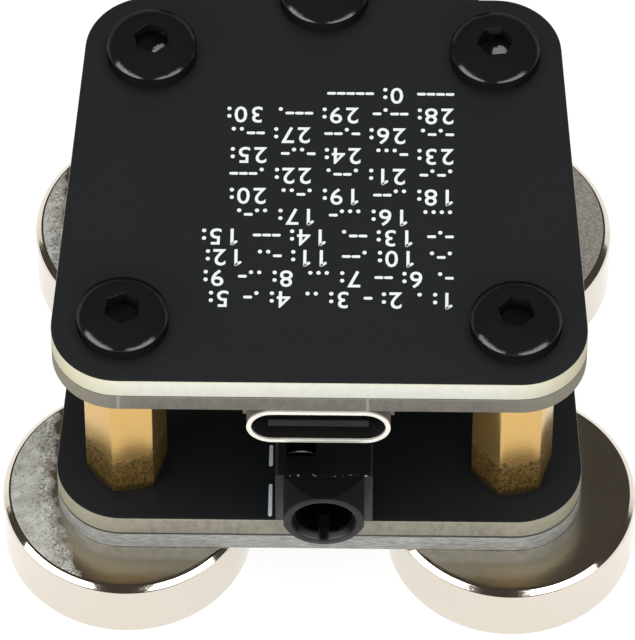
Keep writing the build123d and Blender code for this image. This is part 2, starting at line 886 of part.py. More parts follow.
def usb_plane(distance_back):
    """An upright plane across the receptacle, this far behind its front, facing back."""
    middle_z = main_board_z - usb_height / 2
    return Plane(origin=(0, usb_front_y + distance_back, middle_z), x_dir=(-1, 0, 0), z_dir=(0, 1, 0))


def make_usb_shell():
    """Seamed steel shell of the receptacle, with four legs through the main board."""
    with BuildPart() as usb_shell:
        with BuildSketch(usb_plane(0)):
            SlotOverall(usb_width, usb_height)
            SlotOverall(usb_width - 2 * usb_wall, usb_height - 2 * usb_wall, mode=Mode.SUBTRACT)
        extrude(amount=usb_length)
        with BuildSketch(Plane.XY.offset(main_board_z - usb_height / 2)):
            with Locations(*usb_leg_places()):
                Rectangle(usb_leg_thickness, usb_leg_width)
        extrude(amount=usb_height / 2 + main_board_thickness)
    write_piece(usb_shell, "usb_shell")


def make_usb_insulator():
    """Black insulator: a plug at the back of the shell and the contact tongue."""
    inner_width = usb_width - 2 * (usb_wall + usb_insulator_clearance)
    inner_height = usb_height - 2 * (usb_wall + usb_insulator_clearance)
    plug_start = usb_length - usb_insulator_length
    with BuildPart() as usb_insulator:
        with BuildSketch(usb_plane(plug_start)):
            SlotOverall(inner_width, inner_height)
        extrude(amount=usb_insulator_length)
        with BuildSketch(usb_plane(usb_tongue_recess)):
            Rectangle(usb_tongue_width, usb_tongue_thickness)
        extrude(amount=plug_start - usb_tongue_recess)
    write_piece(usb_insulator, "usb_insulator")


def make_usb_contacts():
    """Gold contacts: a row of strips on each face of the tongue."""
    middle_z = main_board_z - usb_height / 2
    row_middle_y = usb_front_y + usb_tongue_recess + usb_contact_recess + usb_contact_length / 2
    with BuildPart() as usb_contacts:
        for direction in (-1, 1):
            with BuildSketch(Plane.XY.offset(middle_z + direction * usb_tongue_thickness / 2)):
                with Locations((0, row_middle_y)):
                    with GridLocations(usb_contact_pitch, 0, usb_contact_count, 1):
                        Rectangle(usb_contact_width, usb_contact_length)
            extrude(amount=direction * usb_contact_thickness)
    write_piece(usb_contacts, "usb_contacts")


def make_keyer_chip():
    """Keyer chip, hanging under the main board behind the receptacle, and its leads."""
    chip_top_z = main_board_z - chip_standoff
    with BuildPart() as keyer_chip:
        with BuildSketch(Plane.XY.offset(chip_top_z)):
            with Locations((0, chip_y)):
                Rectangle(chip_width, chip_length)
        extrude(amount=-chip_height)
        chamfer(keyer_chip.faces().sort_by(Axis.Z)[0].edges(), chip_edge_chamfer)
    write_piece(keyer_chip, "keyer_chip")

    lead_x = chip_width / 2 + chip_lead_length / 2
    with BuildPart() as chip_leads:
        with BuildSketch(Plane.XY.offset(main_board_z)):
            with Locations((-lead_x, chip_y), (lead_x, chip_y)):
                with GridLocations(0, chip_lead_pitch, 1, chip_lead_count):
                    Rectangle(chip_lead_length, chip_lead_width)
        extrude(amount=-chip_lead_thickness)
    write_piece(chip_leads, "chip_leads")


def make_passives():
    """Capacitors and resistors in two rows past the chip, under the main board."""
    first_row_y = chip_y + chip_length / 2 + passive_behind_chip
    second_row_y = first_row_y + passive_row_spacing
    with BuildPart() as capacitors:
        with BuildSketch(Plane.XY.offset(main_board_z)):
            with Locations((0, first_row_y)):
                with GridLocations(passive_spacing, 0, capacitor_count, 1):
                    Rectangle(passive_width, passive_length)
        extrude(amount=-capacitor_height)
    write_piece(capacitors, "capacitors")
    with BuildPart() as resistors:
        with BuildSketch(Plane.XY.offset(main_board_z)):
            with Locations((0, second_row_y)):
                with GridLocations(passive_spacing, 0, resistor_count, 1):
                    Rectangle(passive_width, passive_length)
        extrude(amount=-resistor_height)
    write_piece(resistors, "resistors")


make_cover_board()
make_main_board()
make_base_board()
make_steel_plate()
make_foot_magnets()
make_pillars()
make_top_screws()
make_base_screws()
make_bushes()
make_pivot_pins()
make_levers()
make_return_magnets()
make_contact_rivets()
make_finger_pieces()
make_finger_screws()
make_gap_screws()
make_jack_body()
make_jack_sleeve()
make_jack_contacts()
make_usb_shell()
make_usb_insulator()
make_usb_contacts()
make_keyer_chip()
make_passives()
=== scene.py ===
"""The double paddle Morse key, dressed: real finishes, broken edges, printed marks and a studio."""

from math import cos, pi, radians, sin, sqrt

import bpy
from mathutils import Matrix, Vector


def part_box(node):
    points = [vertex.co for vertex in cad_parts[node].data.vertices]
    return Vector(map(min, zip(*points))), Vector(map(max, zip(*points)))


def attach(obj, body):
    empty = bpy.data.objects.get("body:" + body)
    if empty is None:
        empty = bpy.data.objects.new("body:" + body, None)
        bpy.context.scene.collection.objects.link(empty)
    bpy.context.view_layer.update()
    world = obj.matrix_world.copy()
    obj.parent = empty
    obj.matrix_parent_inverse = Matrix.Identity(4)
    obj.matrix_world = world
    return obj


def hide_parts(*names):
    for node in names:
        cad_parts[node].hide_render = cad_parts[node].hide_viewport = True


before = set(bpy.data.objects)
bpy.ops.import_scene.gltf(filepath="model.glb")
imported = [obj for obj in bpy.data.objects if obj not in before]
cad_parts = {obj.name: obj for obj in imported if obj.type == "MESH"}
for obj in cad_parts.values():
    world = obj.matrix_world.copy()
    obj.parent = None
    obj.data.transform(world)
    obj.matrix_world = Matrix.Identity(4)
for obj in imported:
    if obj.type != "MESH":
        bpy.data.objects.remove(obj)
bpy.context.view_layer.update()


# Foot magnets: four sintered neodymium discs under the steel plate, chamfered, tumbled and then
# nickel plated all over. The faces of the two on the left, where they stand out from under the plate,
# are painted grey and dull: partly scuffed, partly painted reflection of the open white surroundings.
# The far right one is dulled a little.
mm = 0.001
magnet_names = ("near_left_magnet", "near_right_magnet", "far_left_magnet", "far_right_magnet")
magnet_sides = 160
magnet_chamfer = 0.45 * mm
magnet_edge = 0.13 * mm
magnet_edge_steps = 3
magnet_crease = radians(40)
level_slack = magnet_edge / 8
nickel_colour = "ddd5c8"
# The grey of the scuffed faces on the left is partly painted reflection of the open white surroundings
scuffed_and_mirrored_grey = "d6d6d0"
scuffed_and_mirrored_dark_grey = "b4b4ad"
fleck_colour = "5f5c52"
speck_colour = "efede4"
plating_ripple = 0.7 * mm
plating_grain = 0.13 * mm
scuff_size = 0.8 * mm
grey_area_starts_x = -16.7 * mm
grey_area_full_x = -17.3 * mm
fleck_band_end_x = -18.1 * mm
grey_border_turns_y = -21.5 * mm
grey_border_turn_ends_y = -27.5 * mm
grey_border_turn = 1.9 * mm
dull_right_x = 13.0 * mm
dull_right_y = -9.0 * mm
dull_right_fade = 1.0 * mm
dull_right_share = 0.55
border_wander = 0.4 * mm
nickel_wall_gloss = 0.09
nickel_face_gloss = 0.24
scuff_gloss = 0.5
scuff_metal = 0.25
plating_relief = 0.02 * mm


def select_only(piece):
    """Make a piece the one selected and active object."""
    bpy.ops.object.select_all(action="DESELECT")
    piece.select_set(True)
    bpy.context.view_layer.objects.active = piece


def open_with(piece, kind, test):
    """Enter edit mode with only the faces or edges that pass the test selected."""
    select_only(piece)
    bpy.ops.object.mode_set(mode="EDIT")
    bpy.ops.mesh.select_mode(type=kind)
    bpy.ops.mesh.select_all(action="DESELECT")
    bpy.ops.object.mode_set(mode="OBJECT")
    mesh = piece.data
    if kind == "FACE":
        for face in mesh.polygons:
            face.select = test(face)
    else:
        for edge in mesh.edges:
            first, second = (mesh.vertices[i].co for i in edge.vertices)
            edge.select = test(first, second)
    bpy.ops.object.mode_set(mode="EDIT")


def close_smooth(piece, crease):
    """Leave edit mode and shade smooth, except where faces meet at more than the crease angle."""
    bpy.ops.object.mode_set(mode="OBJECT")
    select_only(piece)
    bpy.ops.object.shade_smooth_by_angle(angle=crease)


def settle(piece, name):
    """Name a finished piece and put its place into its mesh, with its object at the origin."""
    select_only(piece)
    bpy.ops.object.transform_apply(location=True, rotation=True, scale=True)
    piece.name = name
    piece.data.name = name
    return piece


def copy_piece(piece, name, matrix):
    """A copy with its own mesh, moved by the matrix."""
    twin = bpy.data.objects.new(name, piece.data.copy())
    bpy.context.collection.objects.link(twin)
    twin.data.transform(matrix)
    return twin


def dress(piece, material, body, slot, *replaced):
    """Give a piece its only material and its body, and hide the CAD nodes that it stands for. The slot
    argument is not used.
    """
    piece.data.materials.clear()
    piece.data.materials.append(material)
    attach(piece, body)
    if replaced:
        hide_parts(*replaced)
    return piece


def linear(hex_colour):
    """An sRGB hex colour as linear red, green, blue and alpha."""
    values = [int(hex_colour[i : i + 2], 16) / 255 for i in (0, 2, 4)]
    return [v / 12.92 if v <= 0.04045 else ((v + 0.055) / 1.055) ** 2.4 for v in values] + [1.0]


def start_material(name, colour, metallic, roughness):
    """A new material, with the constants of its one Principled shader."""
    material = bpy.data.materials.new(name)
    material.use_nodes = True
    shader = material.node_tree.nodes["Principled BSDF"]
    shader.inputs["Base Color"].default_value = linear(colour)
    shader.inputs["Metallic"].default_value = metallic
    shader.inputs["Roughness"].default_value = roughness
    return material, shader


def add_node(material, kind, settings, links):
    """Add a node: settings go to its properties or sockets, links join outputs to its sockets."""
    node = material.node_tree.nodes.new(kind)
    for name, value in settings.items():
        if isinstance(name, str) and hasattr(node, name):
            setattr(node, name, value)
        else:
            node.inputs[name].default_value = value
    join(material, node, links)
    return node


def join(material, node, links):
    """Link outputs of other nodes to this node's sockets."""
    for name, output in links.items():
        material.node_tree.links.new(output, node.inputs[name])


def nickel_plating(name):
    """Bright nickel plate, a mirror with slow ripples. Faces on the left are grey and dull: partly rubbed,
    partly painted reflection.
    """
    material, shader = start_material(name, nickel_colour, 1.0, nickel_wall_gloss)
    place = add_node(material, "ShaderNodeTexCoord", {}, {}).outputs["Object"]
    parts = add_node(material, "ShaderNodeSeparateXYZ", {}, {"Vector": place})
    on_face = add_node(
        material,
        "ShaderNodeMath",
        {"operation": "GREATER_THAN", 1: magnet_top_z - level_slack},
        {0: parts.outputs["Z"]},
    )

    # How far out to the left a place is: the border of the grey area, scuffing and painted reflection, runs
    # along the plate, then turns in
    turn = add_node(
        material,
        "ShaderNodeMapRange",
        {"From Min": grey_border_turns_y, "From Max": grey_border_turn_ends_y, "To Max": grey_border_turn},
        {"Value": parts.outputs["Y"]},
    )
    clouds = add_node(
        material,
        "ShaderNodeTexNoise",
        {"Scale": 1 / scuff_size, "Detail": 6.0, "Roughness": 0.62},
        {"Vector": place},
    )
    wander = add_node(
        material,
        "ShaderNodeMapRange",
        {"From Min": 0.3, "From Max": 0.7, "To Min": -border_wander, "To Max": border_wander},
        {"Value": clouds.outputs["Fac"]},
    )
    turned = add_node(
        material, "ShaderNodeMath", {"operation": "SUBTRACT"}, {0: parts.outputs["X"], 1: turn.outputs[0]}
    )
    outward = add_node(
        material, "ShaderNodeMath", {"operation": "SUBTRACT"}, {0: turned.outputs[0], 1: wander.outputs[0]}
    )
    left_scuff_and_reflection = add_node(
        material,
        "ShaderNodeMapRange",
        {"From Min": grey_area_starts_x, "From Max": grey_area_full_x},
        {"Value": outward.outputs[0]},
    )
    far_side = add_node(
        material, "ShaderNodeMath", {"operation": "GREATER_THAN", 1: dull_right_y}, {0: parts.outputs["Y"]}
    )
    right_side = add_node(
        material,
        "ShaderNodeMapRange",
        {"From Min": dull_right_x, "From Max": dull_right_x + dull_right_fade, "To Max": dull_right_share},
        {"Value": parts.outputs["X"]},
    )
    rubbed_right = add_node(
        material,
        "ShaderNodeMath",
        {"operation": "MULTIPLY"},
        {0: far_side.outputs[0], 1: right_side.outputs[0]},
    )
    scuff_and_reflection = add_node(
        material,
        "ShaderNodeMath",
        {"operation": "MAXIMUM"},
        {0: left_scuff_and_reflection.outputs[0], 1: rubbed_right.outputs[0]},
    )
    face_scuff_and_reflection = add_node(
        material, "ShaderNodeMath", {"operation": "MULTIPLY"}, {0: scuff_and_reflection.outputs[0], 1: on_face.outputs[0]}
    )

    # Flecks crowd along the border and thin out beyond it
    grains = add_node(
        material,
        "ShaderNodeTexNoise",
        {"Scale": 1 / plating_grain, "Detail": 3.0, "Roughness": 0.7},
        {"Vector": place},
    )
    crowding = add_node(
        material,
        "ShaderNodeMapRange",
        {"From Min": fleck_band_end_x, "From Max": grey_area_full_x, "To Min": 0.0, "To Max": 0.1},
        {"Value": outward.outputs[0]},
    )
    fleck_level = add_node(
        material, "ShaderNodeMath", {"operation": "ADD"}, {0: grains.outputs["Fac"], 1: crowding.outputs[0]}
    )
    flecked = add_node(
        material,
        "ShaderNodeMapRange",
        {"From Min": 0.56, "From Max": 0.66, "To Max": 0.85},
        {"Value": fleck_level.outputs[0]},
    )
    specked = add_node(
        material,
        "ShaderNodeMapRange",
        {"From Min": 0.4, "From Max": 0.33, "To Max": 0.7},
        {"Value": grains.outputs["Fac"]},
    )
    cloud_share = add_node(
        material,
        "ShaderNodeMapRange",
        {"From Min": 0.38, "From Max": 0.62},
        {"Value": clouds.outputs["Fac"]},
    )
    greys = add_node(
        material,
        "ShaderNodeMix",
        {"data_type": "RGBA", 6: linear(scuffed_and_mirrored_dark_grey), 7: linear(scuffed_and_mirrored_grey)},
        {0: cloud_share.outputs[0]},
    )
    with_flecks = add_node(
        material,
        "ShaderNodeMix",
        {"data_type": "RGBA", 7: linear(fleck_colour)},
        {0: flecked.outputs[0], 6: greys.outputs[2]},
    )
    with_specks = add_node(
        material,
        "ShaderNodeMix",
        {"data_type": "RGBA", 7: linear(speck_colour)},
        {0: specked.outputs[0], 6: with_flecks.outputs[2]},
    )
    colour = add_node(
        material,
        "ShaderNodeMix",
        {"data_type": "RGBA", 6: linear(nickel_colour)},
        {0: face_scuff_and_reflection.outputs[0], 7: with_specks.outputs[2]},
    )
    metal = add_node(
        material, "ShaderNodeMapRange", {"To Min": 1.0, "To Max": scuff_metal}, {"Value": face_scuff_and_reflection.outputs[0]}
    )
    face_gloss = add_node(
        material,
        "ShaderNodeMapRange",
        {"To Min": nickel_wall_gloss, "To Max": nickel_face_gloss},
        {"Value": on_face.outputs[0]},
    )
    roughness = add_node(
        material,
        "ShaderNodeMapRange",
        {"To Max": scuff_gloss},
        {"Value": face_scuff_and_reflection.outputs[0], "To Min": face_gloss.outputs[0]},
    )
    ripple = add_node(
        material,
        "ShaderNodeTexNoise",
        {"Scale": 1 / plating_ripple, "Detail": 3.0, "Roughness": 0.6},
        {"Vector": place},
    )
    surface = add_node(
        material,
        "ShaderNodeMath",
        {"operation": "MULTIPLY_ADD", 1: 0.1},
        {0: grains.outputs["Fac"], 2: ripple.outputs["Fac"]},
    )
    bump = add_node(
        material,
        "ShaderNodeBump",
        {"Strength": 0.4, "Distance": plating_relief},
        {"Height": surface.outputs[0]},
    )
    join(
        material,
        shader,
        {
            "Base Color": colour.outputs[2],
            "Metallic": metal.outputs[0],
            "Roughness": roughness.outputs[0],
            "Normal": bump.outputs["Normal"],
        },
    )
    return material


low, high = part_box("near_left_magnet")
magnet_top_z = high.z
bpy.ops.object.select_all(action="DESELECT")
bpy.ops.mesh.primitive_cylinder_add(
    vertices=magnet_sides, radius=(high.x - low.x) / 2, depth=high.z - low.z, location=(low + high) / 2
)
first_magnet = bpy.context.object
for width, steps in ((magnet_chamfer, 1), (magnet_edge, magnet_edge_steps)):
    open_with(first_magnet, "EDGE", lambda a, b: abs(a.z - b.z) < level_slack)
    bpy.ops.mesh.bevel(offset=width, segments=steps, profile=0.5, affect="EDGES")
    close_smooth(first_magnet, magnet_crease)
settle(first_magnet, "near_left_disc")
plated_nickel = nickel_plating("nickel_plating")
magnet_centre = (low + high) / 2
for node in magnet_names:
    low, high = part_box(node)
    shift = (low + high) / 2 - magnet_centre
    disc = first_magnet
    if node != "near_left_magnet":
        disc = copy_piece(first_magnet, node.replace("magnet", "disc"), Matrix.Translation(shift))
    dress(disc, plated_nickel, "key_base", "nickel_magnet", node)


# Steel plate: 1.6 mm mild steel, laser cut to the boards' outline and tumbled.
# Its rubbed edge keeps fine streaks, and handling has left it mottled and half dull.
plate_edge_break = 0.1 * mm
steel_colour = "b0b1ad"
# Painted shade of the joint between the plate and the base board
steel_dark = "767672"
joint_shade_colour = "24221f"
joint_width = 0.16 * mm
striation = 0.1 * mm
striation_squeeze = (0.16, 0.16, 1)
stain_size = 1.6 * mm
steel_metal = 0.15
steel_dull = 0.58
steel_bright = 0.42
steel_relief = 0.02 * mm
weld_distance = 0.0005 * mm
flat_angle = radians(0.4)
sharp_angle = radians(25)
smooth_angle = radians(32)
top_face_slack = 0.01 * mm


def soften(node, edge_break, steps, inset_width=0, inset_depth=0):
    """A copy of a CAD piece with its sharp edges broken. Upward faces may get a stepped border."""
    cad_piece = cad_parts[node]
    piece = bpy.data.objects.new(f"{node}_finished", cad_piece.data.copy())
    bpy.context.collection.objects.link(piece)
    open_with(piece, "FACE", lambda face: True)
    bpy.ops.mesh.remove_doubles(threshold=weld_distance)
    bpy.ops.mesh.dissolve_limited(angle_limit=flat_angle)
    bpy.ops.object.mode_set(mode="OBJECT")
    bpy.ops.mesh.customdata_custom_splitnormals_clear()
    if inset_width:
        top_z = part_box(node)[1].z
        open_with(
            piece, "FACE", lambda face: face.normal.z > 0.99 and face.center.z > top_z - top_face_slack
        )
        bpy.ops.mesh.inset(thickness=inset_width, depth=inset_depth)
        bpy.ops.object.mode_set(mode="OBJECT")
    bevel = piece.modifiers.new("broken_edges", "BEVEL")
    bevel.width = edge_break
    bevel.segments = steps
    bevel.limit_method = "ANGLE"
    bevel.angle_limit = sharp_angle
    select_only(piece)
    bpy.ops.object.modifier_apply(modifier=bevel.name)
    bpy.ops.object.shade_smooth_by_angle(angle=smooth_angle)
    return piece


def finish(node, material, slot, edge_break, steps=2, body="key_base"):
    """Break a CAD piece's edges and dress the copy, which stands for its node."""
    return dress(soften(node, edge_break, steps), material, body, slot, node)


def rolled_steel(name):
    """Mild steel: pale grey, dull, with fine streaks along its cut edge and a dark line of painted shade
    along its top edge.
    """
    material, shader = start_material(name, steel_colour, steel_metal, steel_dull)
    place = add_node(material, "ShaderNodeTexCoord", {}, {}).outputs["Object"]
    squeezed = add_node(
        material, "ShaderNodeMapping", {"Scale": striation_squeeze}, {"Vector": place}
    ).outputs["Vector"]
    lines = add_node(
        material,
        "ShaderNodeTexNoise",
        {"Scale": 1 / striation, "Detail": 4.0, "Roughness": 0.7},
        {"Vector": squeezed},
    )
    stains = add_node(
        material,
        "ShaderNodeTexNoise",
        {"Scale": 1 / stain_size, "Detail": 5.0, "Roughness": 0.6},
        {"Vector": place},
    )
    mixed = add_node(
        material,
        "ShaderNodeMath",
        {"operation": "MULTIPLY_ADD", 1: 0.25},
        {0: stains.outputs["Fac"], 2: lines.outputs["Fac"]},
    )
    depth = add_node(
        material, "ShaderNodeMapRange", {"From Min": 0.45, "From Max": 0.8}, {"Value": mixed.outputs[0]}
    )
    metal = add_node(
        material,
        "ShaderNodeMix",
        {"data_type": "RGBA", 6: linear(steel_dark), 7: linear(steel_colour)},
        {0: depth.outputs[0]},
    )
    # Painted shade: a dark wavering line along the plate's top edge, where it meets the base board
    top_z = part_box("steel_plate")[1].z
    height = add_node(material, "ShaderNodeSeparateXYZ", {}, {"Vector": place}).outputs["Z"]
    waver = add_node(
        material,
        "ShaderNodeMath",
        {"operation": "MULTIPLY_ADD", 1: joint_width},
        {0: stains.outputs["Fac"], 2: height},
    )
    joint_shade = add_node(
        material,
        "ShaderNodeMapRange",
        {"From Min": top_z - joint_width / 2, "From Max": top_z - joint_width / 4, "To Max": 0.9},
        {"Value": waver.outputs[0]},
    )
    colour = add_node(
        material,
        "ShaderNodeMix",
        {"data_type": "RGBA", 7: linear(joint_shade_colour)},
        {0: joint_shade.outputs[0], 6: metal.outputs[2]},
    )
    roughness = add_node(
        material,
        "ShaderNodeMapRange",
        {"To Min": steel_dull, "To Max": steel_bright},
        {"Value": stains.outputs["Fac"]},
    )
    bump = add_node(
        material,
        "ShaderNodeBump",
        {"Strength": 0.4, "Distance": steel_relief},
        {"Height": lines.outputs["Fac"]},
    )
    join(
        material,
        shader,
        {
            "Base Color": colour.outputs[2],
            "Roughness": roughness.outputs[0],
            "Normal": bump.outputs["Normal"],
        },
    )
    return material


finish("steel_plate", rolled_steel("mild_steel"), "steel_plate", plate_edge_break)


# Base board: a circuit board of glass cloth and epoxy, with black solder mask on both faces.
# The mask stops just short of the routed edge, where the bare laminate shows its plies.
board_edge_break = 0.07 * mm
mask_border = 0.2 * mm
mask_step = 0.02 * mm
mask_film = 0.03 * mm
mask_colour = "1f2123"
mask_grain = 0.35 * mm
router_mark = 0.45 * mm
glass_grain = 0.09 * mm
# Where the painted light and shade on the edge's corners starts and is full
corner_shade_starts = 10.5 * mm
corner_shade_full = 15.5 * mm
rim_line = 0.2 * mm
mask_gloss = 0.36
mask_shine = 0.4
mask_relief_share = 0.12
edge_gloss = 0.72
edge_relief = 0.03 * mm


def laminate(name, node, edge_colours, tab_places=()):
    """Circuit board: satin black mask above and below, layered glass and epoxy round the edge."""
    edge_light, edge_dark, edge_corner_shade = edge_colours
    low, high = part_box(node)
    material, shader = start_material(name, mask_colour, 0.0, mask_gloss)
    shader.inputs["Specular IOR Level"].default_value = mask_shine
    place = add_node(material, "ShaderNodeTexCoord", {}, {}).outputs["Object"]
    parts = add_node(material, "ShaderNodeSeparateXYZ", {}, {"Vector": place})
    from_middle = add_node(
        material,
        "ShaderNodeMath",
        {"operation": "SUBTRACT", 1: (low.z + high.z) / 2},
        {0: parts.outputs["Z"]},
    )
    reach = add_node(material, "ShaderNodeMath", {"operation": "ABSOLUTE"}, {0: from_middle.outputs[0]})
    masked = add_node(
        material,
        "ShaderNodeMath",
        {"operation": "GREATER_THAN", 1: (high.z - low.z) / 2 - mask_film},
        {0: reach.outputs[0]},
    )
    squeezed = add_node(
        material, "ShaderNodeMapping", {"Scale": (1, 1, 0.5)}, {"Vector": place}
    ).outputs["Vector"]
    routed = add_node(
        material,
        "ShaderNodeTexNoise",
        {"Scale": 1 / router_mark, "Detail": 6.0, "Roughness": 0.7},
        {"Vector": squeezed},
    )
    fibres = add_node(
        material, "ShaderNodeTexNoise", {"Scale": 1 / glass_grain, "Detail": 2.0}, {"Vector": place}
    )
    tone = add_node(
        material,
        "ShaderNodeMath",
        {"operation": "MULTIPLY_ADD", 1: 0.5},
        {0: fibres.outputs["Fac"], 2: routed.outputs["Fac"]},
    )
    tone_share = add_node(
        material, "ShaderNodeMapRange", {"From Min": 0.55, "From Max": 0.95}, {"Value": tone.outputs[0]}
    ).outputs[0]
    edge = add_node(
        material,
        "ShaderNodeMix",
        {"data_type": "RGBA", 6: linear(edge_dark), 7: linear(edge_light)},
        {0: tone_share},
    ).outputs[2]

    # The edge is painted yellower towards its left and right corners: painted light and shade where the edge
    # turns sideways.
    # The resin also looks yellower in a thin line under the mask.
    outward = add_node(material, "ShaderNodeMath", {"operation": "ABSOLUTE"}, {0: parts.outputs["X"]})
    corner_shade = add_node(
        material,
        "ShaderNodeMapRange",
        {"From Min": corner_shade_starts, "From Max": corner_shade_full, "To Max": 0.85},
        {"Value": outward.outputs[0]},
    )
    under_mask = add_node(
        material,
        "ShaderNodeMapRange",
        {"From Min": (high.z - low.z) / 2 - rim_line, "From Max": (high.z - low.z) / 2, "To Max": 0.8},
        {"Value": from_middle.outputs[0]},
    )
    corner_shade_and_rim_line = add_node(
        material,
        "ShaderNodeMath",
        {"operation": "MAXIMUM"},
        {0: corner_shade.outputs[0], 1: under_mask.outputs[0]},
    )
    edge = add_node(
        material,
        "ShaderNodeMix",
        {"data_type": "RGBA", 7: linear(edge_corner_shade)},
        {0: corner_shade_and_rim_line.outputs[0], 6: edge},
    ).outputs[2]

    # Each tab that held the board in its panel has left a pale scar
    for tab_x in tab_places:
        beside = add_node(
            material, "ShaderNodeMath", {"operation": "SUBTRACT", 1: tab_x}, {0: parts.outputs["X"]}
        )
        near = add_node(material, "ShaderNodeMath", {"operation": "ABSOLUTE"}, {0: beside.outputs[0]})
        scar = add_node(
            material,
            "ShaderNodeMapRange",
            {"From Min": tab_scar / 3, "From Max": tab_scar, "To Min": tab_scar_share, "To Max": 0.0},
            {"Value": near.outputs[0]},
        )
        broken_up = add_node(
            material,
            "ShaderNodeMath",
            {"operation": "MULTIPLY", "use_clamp": True},
            {0: scar.outputs[0], 1: fibres.outputs["Fac"]},
        )
        edge = add_node(
            material,
            "ShaderNodeMix",
            {"data_type": "RGBA", 7: linear(tab_scar_colour)},
            {0: broken_up.outputs[0], 6: edge},
        ).outputs[2]
    colour = add_node(
        material,
        "ShaderNodeMix",
        {"data_type": "RGBA", 7: linear(mask_colour)},
        {0: masked.outputs[0], 6: edge},
    )
    roughness = add_node(
        material,
        "ShaderNodeMapRange",
        {"To Min": edge_gloss, "To Max": mask_gloss},
        {"Value": masked.outputs[0]},
    )
    peel = add_node(
        material, "ShaderNodeTexNoise", {"Scale": 1 / mask_grain, "Detail": 3.0}, {"Vector": place}
    )
    relief = add_node(
        material,
        "ShaderNodeMapRange",
        {"To Min": 1.0, "To Max": mask_relief_share},
        {"Value": masked.outputs[0]},
    )
    rough_relief = add_node(
        material,
        "ShaderNodeMix",
        {"data_type": "FLOAT"},
        {0: masked.outputs[0], 2: routed.outputs["Fac"], 3: peel.outputs["Fac"]},
    )
    height = add_node(
        material,
        "ShaderNodeMath",
        {"operation": "MULTIPLY"},
        {0: rough_relief.outputs[0], 1: relief.outputs[0]},
    )
    bump = add_node(
        material, "ShaderNodeBump", {"Strength": 0.4, "Distance": edge_relief}, {"Height": height.outputs[0]}
    )
    join(
        material,
        shader,
        {
            "Base Color": colour.outputs[2],
            "Roughness": roughness.outputs[0],
            "Normal": bump.outputs["Normal"],
        },
    )
    return material


base_board = soften("base_board", board_edge_break, 2, mask_border, mask_step)
# Edge colours: light and dark tones, then the painted light and shade towards the corners
base_edge_colours = ("9a9688", "7a7668", "a39e88")
base_laminate = laminate("laminate_beige_edge", "base_board", base_edge_colours)
dress(base_board, base_laminate, "key_base", "black_board", "base_board")


# Silk screen marks beside the jack: two short lines of white ink on the base board's mask.
# They show where the jack's housing goes; the ink is a thin, slightly uneven film.
ink_film = 0.03 * mm
silk_colour = "e6f5ff"
ink_thin_colour = "c3cacc"
ink_grain = 0.14 * mm
ink_relief = 0.004 * mm
ink_edge_sides = 12
jack_mark_x = -3.05 * mm
jack_mark_width = 0.25 * mm
jack_marks_y = ((-24.58 * mm, -22.14 * mm), (-20.76 * mm, -19.14 * mm))


def printing_ink(name, colour):
    """Screen-printed epoxy ink: off-white, satin, thinner in places where the mesh left less of it."""
    material, shader = start_material(name, colour, 0.0, 0.5)
    place = add_node(material, "ShaderNodeTexCoord", {}, {}).outputs["Object"]
    mesh_marks = add_node(
        material, "ShaderNodeTexNoise", {"Scale": 1 / ink_grain, "Detail": 3.0}, {"Vector": place}
    )
    cover_share = add_node(
        material,
        "ShaderNodeMapRange",
        {"From Min": 0.3, "From Max": 0.7, "To Min": 0.82},
        {"Value": mesh_marks.outputs["Fac"]},
    )
    tone = add_node(
        material,
        "ShaderNodeMix",
        {"data_type": "RGBA", 6: linear(ink_thin_colour), 7: linear(colour)},
        {0: cover_share.outputs[0]},
    )
    bump = add_node(
        material,
        "ShaderNodeBump",
        {"Strength": 0.3, "Distance": ink_relief},
        {"Height": mesh_marks.outputs["Fac"]},
    )
    join(material, shader, {"Base Color": tone.outputs[2], "Normal": bump.outputs["Normal"]})
    return material


def ink_stroke(name, start, end, width, bottom_z):
    """A flat stroke of ink with round ends, from one point to another along X or Y."""
    middle = (start[0], start[1], bottom_z + ink_film / 2)
    bpy.ops.object.select_all(action="DESELECT")
    bpy.ops.mesh.primitive_cylinder_add(
        vertices=ink_edge_sides, radius=width / 2, depth=ink_film, location=middle
    )
    stroke = bpy.context.object
    reach = Vector((end[0] - start[0], end[1] - start[1], 0))
    if reach.length:
        ahead = reach.normalized()
        bpy.ops.object.transform_apply(location=True)
        bpy.ops.object.mode_set(mode="EDIT")
        bpy.ops.mesh.select_all(action="DESELECT")
        bpy.ops.object.mode_set(mode="OBJECT")
        origin = Vector((start[0], start[1], 0))
        for vertex in stroke.data.vertices:
            vertex.select = (vertex.co - origin).dot(ahead) > width / 100
        bpy.ops.object.mode_set(mode="EDIT")
        bpy.ops.mesh.select_mode(type="VERT")
        bpy.ops.transform.translate(value=reach)
        bpy.ops.object.mode_set(mode="OBJECT")
    return settle(stroke, name)


base_top_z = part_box("base_board")[1].z + mask_step
silk_ink = printing_ink("silk_screen_ink", silk_colour)
end_radius = jack_mark_width / 2
for number, (near_y, far_y) in enumerate(jack_marks_y):
    mark = ink_stroke(
        f"jack_mark_{number + 1}",
        (jack_mark_x, near_y + end_radius),
        (jack_mark_x, far_y - end_radius),
        jack_mark_width,
        base_top_z,
    )
    dress(mark, silk_ink, "key_base", "black_board")


# Pillars and contact post: hexagon brass bar, drawn, cut off and bored M3, with turned ends.
# Drawing leaves lengthwise lines, shown coarser than the real ones, which are too fine to see here.
# Finger marks have darkened the feet in specks.
pillar_names = (
    "near_left_pillar", "near_right_pillar", "far_left_pillar", "far_right_pillar", "contact_post"
)
pillar_edge_break = 0.1 * mm
brass_colour = "d6af69"
patina_colour = "7d6230"
patina_shade = "1a1207"
brass_gloss = 0.24
patina_gloss = 0.38
draw_line = 0.08 * mm
patina_patch = 0.7 * mm
patina_speck = 0.2 * mm
patina_full = 3.2 * mm
patina_ends = 3.6 * mm
patina_wander = 0.6 * mm
patina_share = 0.9
foot_shade_height = 0.35 * mm
brass_metal = 0.84
patina_metal = 0.55
brass_relief = 0.03 * mm


